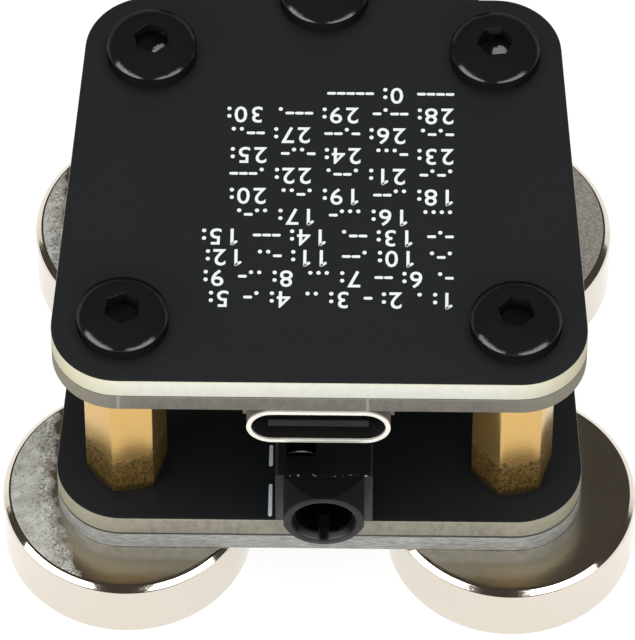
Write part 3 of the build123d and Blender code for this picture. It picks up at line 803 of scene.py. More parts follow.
def drawn_brass(name, foot_z):
    """Brass: warm yellow and satin, with lengthwise lines; its foot has gone olive brown in patches."""
    material, shader = start_material(name, brass_colour, brass_metal, brass_gloss)
    place = add_node(material, "ShaderNodeTexCoord", {}, {}).outputs["Object"]
    height = add_node(material, "ShaderNodeSeparateXYZ", {}, {"Vector": place}).outputs["Z"]
    stretched = add_node(
        material, "ShaderNodeMapping", {"Scale": (1, 1, 0.06)}, {"Vector": place}
    ).outputs["Vector"]
    lines = add_node(
        material, "ShaderNodeTexNoise", {"Scale": 1 / draw_line, "Detail": 3.0}, {"Vector": stretched}
    )
    patches = add_node(
        material,
        "ShaderNodeTexNoise",
        {"Scale": 1 / patina_patch, "Detail": 7.0, "Roughness": 0.72},
        {"Vector": place},
    )
    specks = add_node(
        material,
        "ShaderNodeTexNoise",
        {"Scale": 1 / patina_speck, "Detail": 3.0, "Roughness": 0.7},
        {"Vector": place},
    )
    wander = add_node(
        material,
        "ShaderNodeMapRange",
        {"From Min": 0.3, "From Max": 0.7, "To Min": -patina_wander, "To Max": patina_wander},
        {"Value": patches.outputs["Fac"]},
    )
    level = add_node(material, "ShaderNodeMath", {"operation": "ADD"}, {0: height, 1: wander.outputs[0]})
    tarnished = add_node(
        material,
        "ShaderNodeMapRange",
        {"From Min": foot_z + patina_ends, "From Max": foot_z + patina_full, "To Max": patina_share},
        {"Value": level.outputs[0]},
    )
    # Painted shade: the last bit of the foot, where the pillar meets the board, is darker
    foot_shade = add_node(
        material,
        "ShaderNodeMapRange",
        {"From Min": foot_z + 2 * foot_shade_height, "From Max": foot_z + foot_shade_height, "To Max": 0.2},
        {"Value": height},
    )
    dark_level = add_node(
        material, "ShaderNodeMath", {"operation": "ADD"}, {0: specks.outputs["Fac"], 1: foot_shade.outputs[0]}
    )
    darkened = add_node(
        material,
        "ShaderNodeMapRange",
        {"From Min": 0.47, "From Max": 0.57},
        {"Value": dark_level.outputs[0]},
    )
    patina = add_node(
        material,
        "ShaderNodeMix",
        {"data_type": "RGBA", 6: linear(patina_colour), 7: linear(patina_shade)},
        {0: darkened.outputs[0]},
    )
    colour = add_node(
        material,
        "ShaderNodeMix",
        {"data_type": "RGBA", 6: linear(brass_colour)},
        {0: tarnished.outputs[0], 7: patina.outputs[2]},
    )
    metal = add_node(
        material,
        "ShaderNodeMapRange",
        {"To Min": brass_metal, "To Max": patina_metal},
        {"Value": tarnished.outputs[0]},
    )
    roughness = add_node(
        material,
        "ShaderNodeMapRange",
        {"To Min": brass_gloss, "To Max": patina_gloss},
        {"Value": tarnished.outputs[0]},
    )
    foot_relief = add_node(
        material, "ShaderNodeMath", {"operation": "MULTIPLY", 1: 0.25}, {0: specks.outputs["Fac"]}
    )
    surface = add_node(
        material,
        "ShaderNodeMath",
        {"operation": "MULTIPLY_ADD", 1: 0.12},
        {0: lines.outputs["Fac"], 2: foot_relief.outputs[0]},
    )
    bump = add_node(
        material,
        "ShaderNodeBump",
        {"Strength": 0.5, "Distance": brass_relief},
        {"Height": surface.outputs[0]},
    )
    join(
        material,
        shader,
        {
            "Base Color": colour.outputs[2],
            "Metallic": metal.outputs[0],
            "Roughness": roughness.outputs[0],
            "Normal": bump.outputs["Normal"],
        },
    )
    return material


pillar_brass = drawn_brass("drawn_brass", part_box("base_board")[1].z)
for node in pillar_names:
    finish(node, pillar_brass, "brass", pillar_edge_break)


# Base screws: five M3 countersunk screws of zinc-plated steel, seen only from below.
# Cold forging and plating leave them smooth, bright and faintly mottled.
zinc_colour = "c6c8cc"
zinc_dark = "94979c"
base_screw_edge_break = 0.05 * mm


def worked_metal(name, light, dark, roughness_low, roughness_high, grain, relief):
    """A plain metal surface: tone, gloss and height all vary with one grain of that size.

    The real grain is too fine to show, so it is drawn a few times as coarse.
    """
    material, shader = start_material(name, light, 1.0, roughness_low)
    place = add_node(material, "ShaderNodeTexCoord", {}, {}).outputs["Object"]
    grains = add_node(
        material,
        "ShaderNodeTexNoise",
        {"Scale": 1 / grain, "Detail": 5.0, "Roughness": 0.6},
        {"Vector": place},
    )
    share = add_node(
        material, "ShaderNodeMapRange", {"From Min": 0.3, "From Max": 0.7}, {"Value": grains.outputs["Fac"]}
    )
    colour = add_node(
        material,
        "ShaderNodeMix",
        {"data_type": "RGBA", 6: linear(dark), 7: linear(light)},
        {0: share.outputs[0]},
    )
    roughness = add_node(
        material,
        "ShaderNodeMapRange",
        {"To Min": roughness_high, "To Max": roughness_low},
        {"Value": share.outputs[0]},
    )
    bump = add_node(
        material, "ShaderNodeBump", {"Strength": 0.3, "Distance": relief}, {"Height": grains.outputs["Fac"]}
    )
    join(
        material,
        shader,
        {
            "Base Color": colour.outputs[2],
            "Roughness": roughness.outputs[0],
            "Normal": bump.outputs["Normal"],
        },
    )
    return material


zinc_plate = worked_metal(
    "zinc_plated_steel",
    zinc_colour,
    zinc_dark,
    roughness_low=0.25,
    roughness_high=0.4,
    grain=0.4 * mm,
    relief=0.01 * mm,
)
finish("base_screws", zinc_plate, "steel_screw", base_screw_edge_break)


# Jack: a black moulded body whose square neck ends in a coned ring at the board's edge, with its
# ground sleeve, tip spring and soldered leads. The moulding is glass-filled nylon, satin with a fine
# spark-eroded grain. Two pegs locate it in the base board.
nylon_colour = "121213"
nylon_shine = 0.28
wear_gain = 2.2
wear_lift = 0.004
spark_grain = 0.12 * mm
neck_dullness = 0.85
neck_and_bore_shade_colour = "050505"
ring_slack = 0.04 * mm
edge_slack = 0.01 * mm
mouth_radius = 2.45 * mm
mouth_starts = 0.03 * mm
floor_grey_colour = "4c4e50"
grey_starts_aside = 0.2 * mm
grey_full_aside = 0.45 * mm
grey_starts_down = 1.1 * mm
grey_full_down = 1.7 * mm
grey_full_depth = 0.2 * mm
grey_ends_depth = 0.9 * mm
edge_glint_colour = "c9c4b8"
edge_glint_size = 0.5 * mm
edge_glint_height = 0.14 * mm
edge_glint_reach = 0.07 * mm
tin_grain = 0.3 * mm
tin_relief = 0.01 * mm
sleeve_shade_colour = "2c2b2a"
sleeve_deep_shade = "161615"
spring_shade_colour = "2a2723"
spring_deep_shade = "161412"
spring_glint_colour = "e4ddd0"
spring_glint_from_front = 0.46 * mm
spring_glint_half_width = 0.045 * mm


def moulded_plastic(name, colour, roughness_low, roughness_high, grain, relief):
    """Moulded plastic: one colour through and through, its gloss broken by the mould's grain.

    A spark-eroded mould's grain is too fine to show, so it is drawn about three times as coarse.
    """
    material, shader = start_material(name, colour, 0.0, roughness_low)
    place = add_node(material, "ShaderNodeTexCoord", {}, {}).outputs["Object"]
    grains = add_node(
        material,
        "ShaderNodeTexNoise",
        {"Scale": 1 / grain, "Detail": 4.0, "Roughness": 0.6},
        {"Vector": place},
    )
    roughness = add_node(
        material,
        "ShaderNodeMapRange",
        {"From Min": 0.3, "From Max": 0.7, "To Min": roughness_low, "To Max": roughness_high},
        {"Value": grains.outputs["Fac"]},
    )
    worn = [min(1.0, channel * wear_gain + wear_lift) for channel in linear(colour)[:3]] + [1.0]
    share = add_node(
        material,
        "ShaderNodeMapRange",
        {"From Min": 0.55, "From Max": 0.8, "To Max": 0.5},
        {"Value": grains.outputs["Fac"]},
    )
    shade = add_node(
        material,
        "ShaderNodeMix",
        {"data_type": "RGBA", 6: linear(colour), 7: worn},
        {0: share.outputs[0]},
    )
    bump = add_node(
        material, "ShaderNodeBump", {"Strength": 0.35, "Distance": relief}, {"Height": grains.outputs["Fac"]}
    )
    join(
        material,
        shader,
        {
            "Base Color": shade.outputs[2],
            "Roughness": roughness.outputs[0],
            "Normal": bump.outputs["Normal"],
        },
    )
    return material


nylon = moulded_plastic(
    "glass_filled_nylon",
    nylon_colour,
    roughness_low=0.34,
    roughness_high=0.5,
    grain=spark_grain,
    relief=0.012 * mm,
)
nylon_shader = nylon.node_tree.nodes["Principled BSDF"]
nylon_shader.inputs["Specular IOR Level"].default_value = nylon_shine
nylon_tone = nylon_shader.inputs["Base Color"].links[0].from_socket
nylon_gloss = nylon_shader.inputs["Roughness"].links[0].from_socket
nylon_place = add_node(nylon, "ShaderNodeTexCoord", {}, {}).outputs["Object"]
nylon_parts = add_node(nylon, "ShaderNodeSeparateXYZ", {}, {"Vector": nylon_place})

# The neck between the ring and the body is duller than the rest, and painted darker: painted shade
ring_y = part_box("jack_body")[0].y
body_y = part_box("base_board")[0].y
behind_ring = add_node(
    nylon,
    "ShaderNodeMath",
    {"operation": "GREATER_THAN", 1: ring_y + ring_slack},
    {0: nylon_parts.outputs["Y"]},
)
before_body = add_node(
    nylon,
    "ShaderNodeMath",
    {"operation": "LESS_THAN", 1: body_y - edge_slack},
    {0: nylon_parts.outputs["Y"]},
)
on_neck = add_node(
    nylon,
    "ShaderNodeMath",
    {"operation": "MULTIPLY"},
    {0: behind_ring.outputs[0], 1: before_body.outputs[0]},
)

# The mouth's floor is lighter grey near the front, on both sides of the middle
sleeve_low, sleeve_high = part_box("jack_ground_sleeve")
sleeve_middle = (sleeve_low + sleeve_high) / 2
mouth_axis = Vector((sleeve_middle.x, ring_y, sleeve_middle.z))
from_mouth = add_node(
    nylon, "ShaderNodeVectorMath", {"operation": "SUBTRACT", 1: mouth_axis}, {0: nylon_place}
).outputs["Vector"]
mouth_parts = add_node(nylon, "ShaderNodeSeparateXYZ", {}, {"Vector": from_mouth})
aside = add_node(nylon, "ShaderNodeMath", {"operation": "ABSOLUTE"}, {0: mouth_parts.outputs["X"]})
off_middle = add_node(
    nylon,
    "ShaderNodeMapRange",
    {"From Min": grey_starts_aside, "From Max": grey_full_aside},
    {"Value": aside.outputs[0]},
)
low_down = add_node(
    nylon,
    "ShaderNodeMapRange",
    {"From Min": -grey_starts_down, "From Max": -grey_full_down},
    {"Value": mouth_parts.outputs["Z"]},
)
near_mouth = add_node(
    nylon,
    "ShaderNodeMapRange",
    {"From Min": grey_ends_depth, "From Max": grey_full_depth},
    {"Value": mouth_parts.outputs["Y"]},
)
across_mouth = add_node(
    nylon, "ShaderNodeCombineXYZ", {}, {"X": mouth_parts.outputs["X"], "Z": mouth_parts.outputs["Z"]}
)
mouth_reach = add_node(
    nylon, "ShaderNodeVectorMath", {"operation": "LENGTH"}, {0: across_mouth.outputs["Vector"]}
)
in_circle = add_node(
    nylon, "ShaderNodeMath", {"operation": "LESS_THAN", 1: mouth_radius}, {0: mouth_reach.outputs["Value"]}
)
past_ring_face = add_node(
    nylon, "ShaderNodeMath", {"operation": "GREATER_THAN", 1: mouth_starts}, {0: mouth_parts.outputs["Y"]}
)
in_bore = add_node(
    nylon,
    "ShaderNodeMath",
    {"operation": "MULTIPLY"},
    {0: in_circle.outputs[0], 1: past_ring_face.outputs[0]},
)
floor_grey = in_bore.outputs[0]
for share in (off_middle, low_down, near_mouth):
    floor_grey = add_node(
        nylon, "ShaderNodeMath", {"operation": "MULTIPLY"}, {0: floor_grey, 1: share.outputs[0]}
    ).outputs[0]
# Painted shade: the bore and the neck are painted nearly black and duller
shaded = add_node(
    nylon, "ShaderNodeMath", {"operation": "MAXIMUM"}, {0: in_bore.outputs[0], 1: on_neck.outputs[0]}
)
shaded_gloss = add_node(
    nylon, "ShaderNodeMix", {"data_type": "FLOAT", 3: neck_dullness}, {0: shaded.outputs[0], 2: nylon_gloss}
)
shaded_tone = add_node(
    nylon,
    "ShaderNodeMix",
    {"data_type": "RGBA", 7: linear(neck_and_bore_shade_colour)},
    {0: shaded.outputs[0], 6: nylon_tone},
)
floor_grey_tone = add_node(
    nylon, "ShaderNodeMix", {"data_type": "RGBA", 7: linear(floor_grey_colour)}, {0: floor_grey, 6: shaded_tone.outputs[2]}
)

# Painted highlights: white glints here and there along the body's top front edge
edge_glints = add_node(
    nylon,
    "ShaderNodeTexNoise",
    {"Scale": 1 / edge_glint_size, "Detail": 4.0, "Roughness": 0.8},
    {"Vector": nylon_place},
)
glinting_edge = add_node(
    nylon,
    "ShaderNodeMapRange",
    {"From Min": 0.56, "From Max": 0.6, "To Max": 0.8},
    {"Value": edge_glints.outputs["Fac"]},
).outputs[0]
body_top_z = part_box("jack_body")[1].z
high_up = add_node(
    nylon,
    "ShaderNodeMath",
    {"operation": "GREATER_THAN", 1: body_top_z - edge_glint_height},
    {0: nylon_parts.outputs["Z"]},
)
at_front = add_node(
    nylon,
    "ShaderNodeMath",
    {"operation": "LESS_THAN", 1: body_y + edge_glint_reach},
    {0: nylon_parts.outputs["Y"]},
)
by_body = add_node(
    nylon,
    "ShaderNodeMath",
    {"operation": "GREATER_THAN", 1: body_y - edge_glint_reach},
    {0: nylon_parts.outputs["Y"]},
)
for share in (high_up, at_front, by_body):
    glinting_edge = add_node(
        nylon, "ShaderNodeMath", {"operation": "MULTIPLY"}, {0: glinting_edge, 1: share.outputs[0]}
    ).outputs[0]
edge_glint_tone = add_node(
    nylon,
    "ShaderNodeMix",
    {"data_type": "RGBA", 7: linear(edge_glint_colour)},
    {0: glinting_edge, 6: floor_grey_tone.outputs[2]},
)
join(nylon, nylon_shader, {"Base Color": edge_glint_tone.outputs[2], "Roughness": shaded_gloss.outputs[0]})

# A tinned sleeve, and a spring and leads of bronze, painted nearly black: painted shade
shaded_sleeve_tin = worked_metal(
    "shaded_tinned_sleeve",
    sleeve_shade_colour,
    sleeve_deep_shade,
    roughness_low=0.5,
    roughness_high=0.6,
    grain=tin_grain,
    relief=tin_relief,
)
shaded_bronze = worked_metal(
    "shaded_spring_bronze",
    spring_shade_colour,
    spring_deep_shade,
    roughness_low=0.4,
    roughness_high=0.55,
    grain=tin_grain,
    relief=tin_relief,
)

# Painted highlight: the tip spring is painted bright, and not metallic, in one line across it near its front
spring_shader = shaded_bronze.node_tree.nodes["Principled BSDF"]
spring_tone = spring_shader.inputs["Base Color"].links[0].from_socket
spring_place = add_node(shaded_bronze, "ShaderNodeTexCoord", {}, {}).outputs["Object"]
spring_y = add_node(shaded_bronze, "ShaderNodeSeparateXYZ", {}, {"Vector": spring_place}).outputs["Y"]
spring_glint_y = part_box("jack_contacts")[0].y + spring_glint_from_front
from_spring_glint = add_node(
    shaded_bronze, "ShaderNodeMath", {"operation": "SUBTRACT", 1: spring_glint_y}, {0: spring_y}
)
spring_glint_reach = add_node(
    shaded_bronze, "ShaderNodeMath", {"operation": "ABSOLUTE"}, {0: from_spring_glint.outputs[0]}
)
on_spring_glint = add_node(
    shaded_bronze,
    "ShaderNodeMath",
    {"operation": "LESS_THAN", 1: spring_glint_half_width},
    {0: spring_glint_reach.outputs[0]},
)
spring_glint_tone = add_node(
    shaded_bronze,
    "ShaderNodeMix",
    {"data_type": "RGBA", 7: linear(spring_glint_colour)},
    {0: on_spring_glint.outputs[0], 6: spring_tone},
)
spring_metal = add_node(
    shaded_bronze, "ShaderNodeMapRange", {"To Min": 1.0, "To Max": 0.0}, {"Value": on_spring_glint.outputs[0]}
)
join(
    shaded_bronze, spring_shader, {"Base Color": spring_glint_tone.outputs[2], "Metallic": spring_metal.outputs[0]}
)
finish("jack_body", nylon, "black_plastic", edge_break=0.06 * mm)
finish("jack_ground_sleeve", shaded_sleeve_tin, "tinned_metal", edge_break=0.03 * mm, steps=1)
finish("jack_contacts", shaded_bronze, "tinned_metal", edge_break=0.04 * mm, steps=1)


# Levers and what they carry: milled brass bars on ground steel pins, with silver contact rivets,
# small return magnets and black acetal finger pieces held by slotted steel screws. The pins turn in
# flanged brass bushes pressed into the boards, and a brass screw in each far pillar sets the gap.
bar_colour = "5e4a26"
bar_dark = "382b14"
steel_pin_colour = "d0d2d4"
steel_pin_dark = "a3a6aa"
silver_colour = "e6e3dc"
silver_dark = "b8b2a6"
acetal_colour = "1a1a1b"
bush_edge_break = 0.05 * mm
gap_screw_edge_break = 0.03 * mm
bar_brass = worked_metal(
    "browned_brass",
    bar_colour,
    bar_dark,
    roughness_low=0.3,
    roughness_high=0.45,
    grain=0.3 * mm,
    relief=0.008 * mm,
)
bright_steel = worked_metal(
    "ground_steel",
    steel_pin_colour,
    steel_pin_dark,
    roughness_low=0.16,
    roughness_high=0.3,
    grain=0.25 * mm,
    relief=0.006 * mm,
)
fine_silver = worked_metal(
    "fine_silver",
    silver_colour,
    silver_dark,
    roughness_low=0.2,
    roughness_high=0.35,
    grain=0.2 * mm,
    relief=0.006 * mm,
)
acetal = moulded_plastic(
    "moulded_acetal",
    acetal_colour,
    roughness_low=0.3,
    roughness_high=0.46,
    grain=0.16 * mm,
    relief=0.012 * mm,
)
lever_finishes = {
    "lever": (bar_brass, "brass", 0.08 * mm),
    "pivot_pin": (bright_steel, "steel_pin", 0.05 * mm),
    "finger_piece": (acetal, "black_plastic", 0.1 * mm),
    "finger_screws": (bright_steel, "steel_screw", 0.06 * mm),
    "contact_rivet": (fine_silver, "silver_contact", 0.04 * mm),
    "return_magnet": (plated_nickel, "nickel_magnet", 0.05 * mm),
}
for side in ("left", "right"):
    for part, (material, slot, edge_break) in lever_finishes.items():
        finish(f"{side}_{part}", material, slot, edge_break, body=f"{side}_paddle")
    for bush in ("lower_bush", "upper_bush"):
        finish(f"{side}_{bush}", bar_brass, "brass", bush_edge_break)
    screw_body = f"{side}_gap_adjuster"
    finish(f"{side}_gap_screw", bar_brass, "brass", gap_screw_edge_break, steps=1, body=screw_body)


# USB-C receptacle: a folded and laser-welded steel shell, nickel plated, round a black tongue
# with gold contacts on both faces. Its legs are soldered into the main board from below.
shell_colour = "f6f2ea"
shell_dark = "e8e3d9"
shell_metal = 0.45
shell_wall = 0.3 * mm
shell_lip = 0.13 * mm
shell_slack = 0.02 * mm
inner_wall_share = 0.8
mouth_shade_and_flux_colour = "1c1b1a"
behind_rim_grey = "6f6c64"
outer_slack = 0.03 * mm
dull_gloss = 0.6
gold_colour = "e8bd5e"
gold_dark = "bb8c33"
tongue_colour = "0e0e10"
tongue_shine = 0.2
shell_nickel = worked_metal(
    "nickel_plated_shell",
    shell_colour,
    shell_dark,
    roughness_low=0.16,
    roughness_high=0.26,
    grain=0.3 * mm,
    relief=0.002 * mm,
)
contact_gold = worked_metal(
    "gold_plated_contact",
    gold_colour,
    gold_dark,
    roughness_low=0.18,
    roughness_high=0.3,
    grain=0.1 * mm,
    relief=0.003 * mm,
)
tongue_plastic = moulded_plastic(
    "liquid_crystal_polymer",
    tongue_colour,
    roughness_low=0.4,
    roughness_high=0.55,
    grain=0.1 * mm,
    relief=0.008 * mm,
)
tongue_shader = tongue_plastic.node_tree.nodes["Principled BSDF"]
tongue_shader.inputs["Specular IOR Level"].default_value = tongue_shine

# Inside its mouth the shell is painted dark and dull: painted shade, where light doesn't reach.
# Solder flux has stained its legs dark and dull.
shell_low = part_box("usb_shell")[0]
shell_top_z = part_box("main_board")[0].z
shell_half_height = (shell_top_z - shell_low.z) / 2
shell_half_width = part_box("usb_insulator")[1].x + shell_wall
shell_straight = shell_half_width - shell_half_height
shell_place = add_node(shell_nickel, "ShaderNodeTexCoord", {}, {}).outputs["Object"]
shell_parts = add_node(shell_nickel, "ShaderNodeSeparateXYZ", {}, {"Vector": shell_place})
sideways = add_node(shell_nickel, "ShaderNodeMath", {"operation": "ABSOLUTE"}, {0: shell_parts.outputs["X"]})
past_straight = add_node(
    shell_nickel, "ShaderNodeMath", {"operation": "SUBTRACT", 1: shell_straight}, {0: sideways.outputs[0]}
)
round_reach = add_node(
    shell_nickel, "ShaderNodeMath", {"operation": "MAXIMUM", 1: 0.0}, {0: past_straight.outputs[0]}
)
upright = add_node(
    shell_nickel,
    "ShaderNodeMath",
    {"operation": "SUBTRACT", 1: shell_low.z + shell_half_height},
    {0: shell_parts.outputs["Z"]},
)
from_axis = add_node(
    shell_nickel, "ShaderNodeCombineXYZ", {}, {"X": round_reach.outputs[0], "Z": upright.outputs[0]}
)
slot_reach = add_node(
    shell_nickel, "ShaderNodeVectorMath", {"operation": "LENGTH"}, {0: from_axis.outputs[0]}
)
within_wall = add_node(
    shell_nickel,
    "ShaderNodeMath",
    {"operation": "LESS_THAN", 1: shell_half_height - shell_wall * inner_wall_share},
    {0: slot_reach.outputs["Value"]},
)
behind_lip = add_node(
    shell_nickel,
    "ShaderNodeMath",
    {"operation": "GREATER_THAN", 1: shell_low.y + shell_lip},
    {0: shell_parts.outputs["Y"]},
)
in_mouth = add_node(
    shell_nickel,
    "ShaderNodeMath",
    {"operation": "MULTIPLY"},
    {0: within_wall.outputs[0], 1: behind_lip.outputs[0]},
)
on_legs = add_node(
    shell_nickel,
    "ShaderNodeMath",
    {"operation": "GREATER_THAN", 1: shell_half_height + shell_slack},
    {0: slot_reach.outputs["Value"]},
)
mouth_shade_and_leg_flux = add_node(
    shell_nickel, "ShaderNodeMath", {"operation": "MAXIMUM"}, {0: in_mouth.outputs[0], 1: on_legs.outputs[0]}
)
shell_shader = shell_nickel.node_tree.nodes["Principled BSDF"]
shell_shader.inputs["Metallic"].default_value = shell_metal
plated_colour = shell_shader.inputs["Base Color"].links[0].from_socket
plated_gloss = shell_shader.inputs["Roughness"].links[0].from_socket
mouth_shade_and_flux_tone = add_node(
    shell_nickel,
    "ShaderNodeMix",
    {"data_type": "RGBA", 7: linear(mouth_shade_and_flux_colour)},
    {0: mouth_shade_and_leg_flux.outputs[0], 6: plated_colour},
)
dulled = add_node(
    shell_nickel,
    "ShaderNodeMix",
    {"data_type": "FLOAT", 3: dull_gloss},
    {0: mouth_shade_and_leg_flux.outputs[0], 2: plated_gloss},
)

# Outside, behind its front edge, it is painted a darker grey and duller
outside = add_node(
    shell_nickel,
    "ShaderNodeMath",
    {"operation": "GREATER_THAN", 1: shell_half_height - outer_slack},
    {0: slot_reach.outputs["Value"]},
)
behind_rim = add_node(
    shell_nickel,
    "ShaderNodeMath",
    {"operation": "MULTIPLY"},
    {0: outside.outputs[0], 1: behind_lip.outputs[0]},
)
behind_rim_tone = add_node(
    shell_nickel,
    "ShaderNodeMix",
    {"data_type": "RGBA", 7: linear(behind_rim_grey)},
    {0: behind_rim.outputs[0], 6: mouth_shade_and_flux_tone.outputs[2]},
)
behind_rim_gloss = add_node(
    shell_nickel,
    "ShaderNodeMix",
    {"data_type": "FLOAT", 3: dull_gloss},
    {0: behind_rim.outputs[0], 2: dulled.outputs[0]},
)
join(shell_nickel, shell_shader, {"Base Color": behind_rim_tone.outputs[2], "Roughness": behind_rim_gloss.outputs[0]})
finish("usb_shell", shell_nickel, "nickel_shell", edge_break=0.04 * mm)
finish("usb_insulator", tongue_plastic, "black_plastic", edge_break=0.05 * mm)
finish("usb_contacts", contact_gold, "gold_contact", edge_break=0.01 * mm, steps=1)


# Keyer electronics: a chip in moulded epoxy with its tinned leads, fired ceramic capacitors and
# glazed resistors, all soldered to the underside of the main board.
epoxy_colour = "1c1d1e"
ceramic_colour = "9a7a55"
glaze_colour = "16181c"
lead_colour = "cfccc6"
lead_dark = "8f8a82"
tinned_bronze = worked_metal(
    "tinned_bronze",
    lead_colour,
    lead_dark,
    roughness_low=0.22,
    roughness_high=0.4,
    grain=tin_grain,
    relief=tin_relief,
)
epoxy = moulded_plastic(
    "chip_epoxy", epoxy_colour, roughness_low=0.45, roughness_high=0.6, grain=0.08 * mm, relief=0.006 * mm
)
ceramic = moulded_plastic(
    "tan_ceramic", ceramic_colour, roughness_low=0.4, roughness_high=0.55, grain=0.12 * mm, relief=0.004 * mm
)
glaze = moulded_plastic(
    "resistor_glaze", glaze_colour, roughness_low=0.2, roughness_high=0.3, grain=0.12 * mm, relief=0.002 * mm
)
finish("keyer_chip", epoxy, "black_plastic", edge_break=0.03 * mm, steps=1)
finish("chip_leads", tinned_bronze, "tinned_metal", edge_break=0.03 * mm, steps=1)
finish("capacitors", ceramic, "tan_ceramic", edge_break=0.05 * mm)
finish("resistors", glaze, "black_plastic", edge_break=0.04 * mm, steps=1)


# Main board: the same laminate, 1.4 mm thick, with a dull grey-brown edge.
# Two faint pale scars on its near edge are where tabs held it in its panel.
# Edge colours: light and dark tones, then the painted light and shade towards the corners
main_edge_colours = ("77736a", "605d57", "8c8678")
tab_scar = 0.13 * mm
tab_scar_share = 0.5
tab_scar_colour = "d5d6cb"
tab_scars_x = (-12.36 * mm, 3.04 * mm)
main_laminate = laminate("laminate_grey_edge", "main_board", main_edge_colours, tab_scars_x)
main_board = soften("main_board", board_edge_break, 2, mask_border, mask_step)
dress(main_board, main_laminate, "key_base", "black_board", "main_board")


# Cover board: a plain board 1.6 mm thick on top of the main board, of paler resin, so that its
# routed edge is cream. The five button screws clamp the two together.
# Edge colours: light and dark tones, then the painted shade towards the corners
cover_edge_colours = ("e2e3d8", "d6d7cb", "d6d0ae")
cover_laminate = laminate("laminate_cream_edge", "cover_board", cover_edge_colours)
cover = soften("cover_board", board_edge_break, 2, mask_border, mask_step)
dress(cover, cover_laminate, "key_base", "black_board", "cover_board")


# Practice chart: white ink on the cover board's mask, read from the finger pieces' side.
# It numbers every group of one to four dots and dashes in counting order, then the zero of five.
chart_right_x = 8.3 * mm
chart_left_x = -8.2 * mm
chart_first_y = -18.6 * mm
chart_row_pitch = 1.59 * mm
digit_height = 1.28 * mm
digit_width = 0.86 * mm
digit_gap = 0.16 * mm
digit_stroke = 0.012 * mm
dot_size = 0.27 * mm
dash_length = 0.56 * mm
dash_width = 0.2 * mm
dot_pitch = 0.51 * mm
dash_pitch = 0.6 * mm
dash_height_share = 0.35
colon_height_share = 0.56
colon_gap = 0.24 * mm
code_gap = 0.6 * mm
entry_gap = 0.8 * mm
longest_group = 4
capital_share = 0.729
flag_length = 0.3 * mm
flag_width = 0.18 * mm
flag_from_middle = 0.26 * mm
flag_height_share = 0.76
flag_lean = radians(38)
ink_colour = "edf2f4"


def code_groups(longest):
    """Every group of dots and dashes up to that length, in counting order."""
    groups = []
    for length in range(1, longest + 1):
        for number in range(2**length):
            signs = [".", "-"]
            groups.append("".join(signs[number >> place & 1] for place in reversed(range(length))))
    return groups


def group_width(group):
    """How far a group of dots and dashes reaches."""
    return sum(dot_pitch if sign == "." else dash_pitch for sign in group)


def digit_shapes(bottom_z):
    """One flat shape for each digit, its lower left corner at the origin."""
    shapes = {}
    for digit in "0123456789":
        bpy.ops.object.select_all(action="DESELECT")
        bpy.ops.object.text_add(location=(0, 0, 0))
        glyph = bpy.context.object
        glyph.data.body = digit
        glyph.data.resolution_u = 3
        glyph.data.size = digit_height / capital_share
        glyph.data.offset = digit_stroke
        glyph.data.extrude = ink_film / 2
        bpy.ops.object.convert(target="MESH")
        glyph = bpy.context.object
        low_x = min(vertex.co.x for vertex in glyph.data.vertices)
        high_x = max(vertex.co.x for vertex in glyph.data.vertices)
        centring = digit_width / 2 - (low_x + high_x) / 2
        glyph.data.transform(Matrix.Translation((centring, 0, bottom_z + ink_film / 2)))
        shapes[digit] = glyph

    # The figure one gets a short flag at its top
    flag = ink_stroke("one_flag", (0, 0), (flag_length, 0), flag_width, bottom_z)
    lean = Matrix.Rotation(flag_lean, 4, "Z")
    flag_place = (digit_width / 2 - flag_from_middle, digit_height * flag_height_share, 0)
    top_left = Matrix.Translation(flag_place)
    flag.data.transform(top_left @ lean)
    select_only(shapes["1"])
    flag.select_set(True)
    bpy.ops.object.join()
    return shapes


def printed_chart(bottom_z, material):
    """The whole chart, as one piece of ink."""
    entries = [(str(number + 1), group) for number, group in enumerate(code_groups(longest_group))]
    entries.append(("0", "-----"))
    digits = digit_shapes(bottom_z)
    half_turn = Matrix.Rotation(pi, 4, "Z")
    line_width = chart_right_x - chart_left_x
    dot = ink_stroke("chart_dot", (0, 0), (0, 0), dot_size, bottom_z)
    dash_start = dash_width / 2
    dash = ink_stroke("chart_dash", (dash_start, 0), (dash_length - dash_start, 0), dash_width, bottom_z)
    pieces = []
    row = 0
    across = 0.0
    for label, group in entries:
        label_width = len(label) * (digit_width + digit_gap) + colon_gap
        if across + label_width > line_width:
            row += 1
            across = 0.0
        baseline = -(chart_first_y + row * chart_row_pitch) - digit_height / 2
        for digit in label:
            place = Matrix.Translation((across - chart_right_x, baseline, 0))
            pieces.append(copy_piece(digits[digit], "chart_digit", half_turn @ place))
            across += digit_width + digit_gap
        for height in (dot_size / 2, digit_height * colon_height_share):
            place = Matrix.Translation((across + dot_size / 2 - chart_right_x, baseline + height, 0))
            pieces.append(copy_piece(dot, "chart_colon", half_turn @ place))
        across += colon_gap + code_gap
        if across + group_width(group) > line_width:
            row += 1
            across = 0.0
            baseline -= chart_row_pitch
        for sign in group:
            if sign == ".":
                dot_x = across + dot_pitch / 2 - chart_right_x
                place = Matrix.Translation((dot_x, baseline + dot_size / 2, 0))
                pieces.append(copy_piece(dot, "chart_dot", half_turn @ place))
                across += dot_pitch
            else:
                rise = digit_height * dash_height_share
                place = Matrix.Translation((across - chart_right_x, baseline + rise, 0))
                pieces.append(copy_piece(dash, "chart_dash", half_turn @ place))
                across += dash_pitch
        across += entry_gap
    for shape in [dot, dash] + list(digits.values()):
        bpy.data.objects.remove(shape)
    select_only(pieces[0])
    for piece in pieces:
        piece.select_set(True)
    bpy.ops.object.join()
    chart = settle(bpy.context.object, "practice_chart")
    return dress(chart, material, "key_base", "black_board")


cover_top_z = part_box("cover_board")[1].z
chart_ink = printing_ink("chart_ink", ink_colour)
printed_chart(cover_top_z + mask_step, chart_ink)


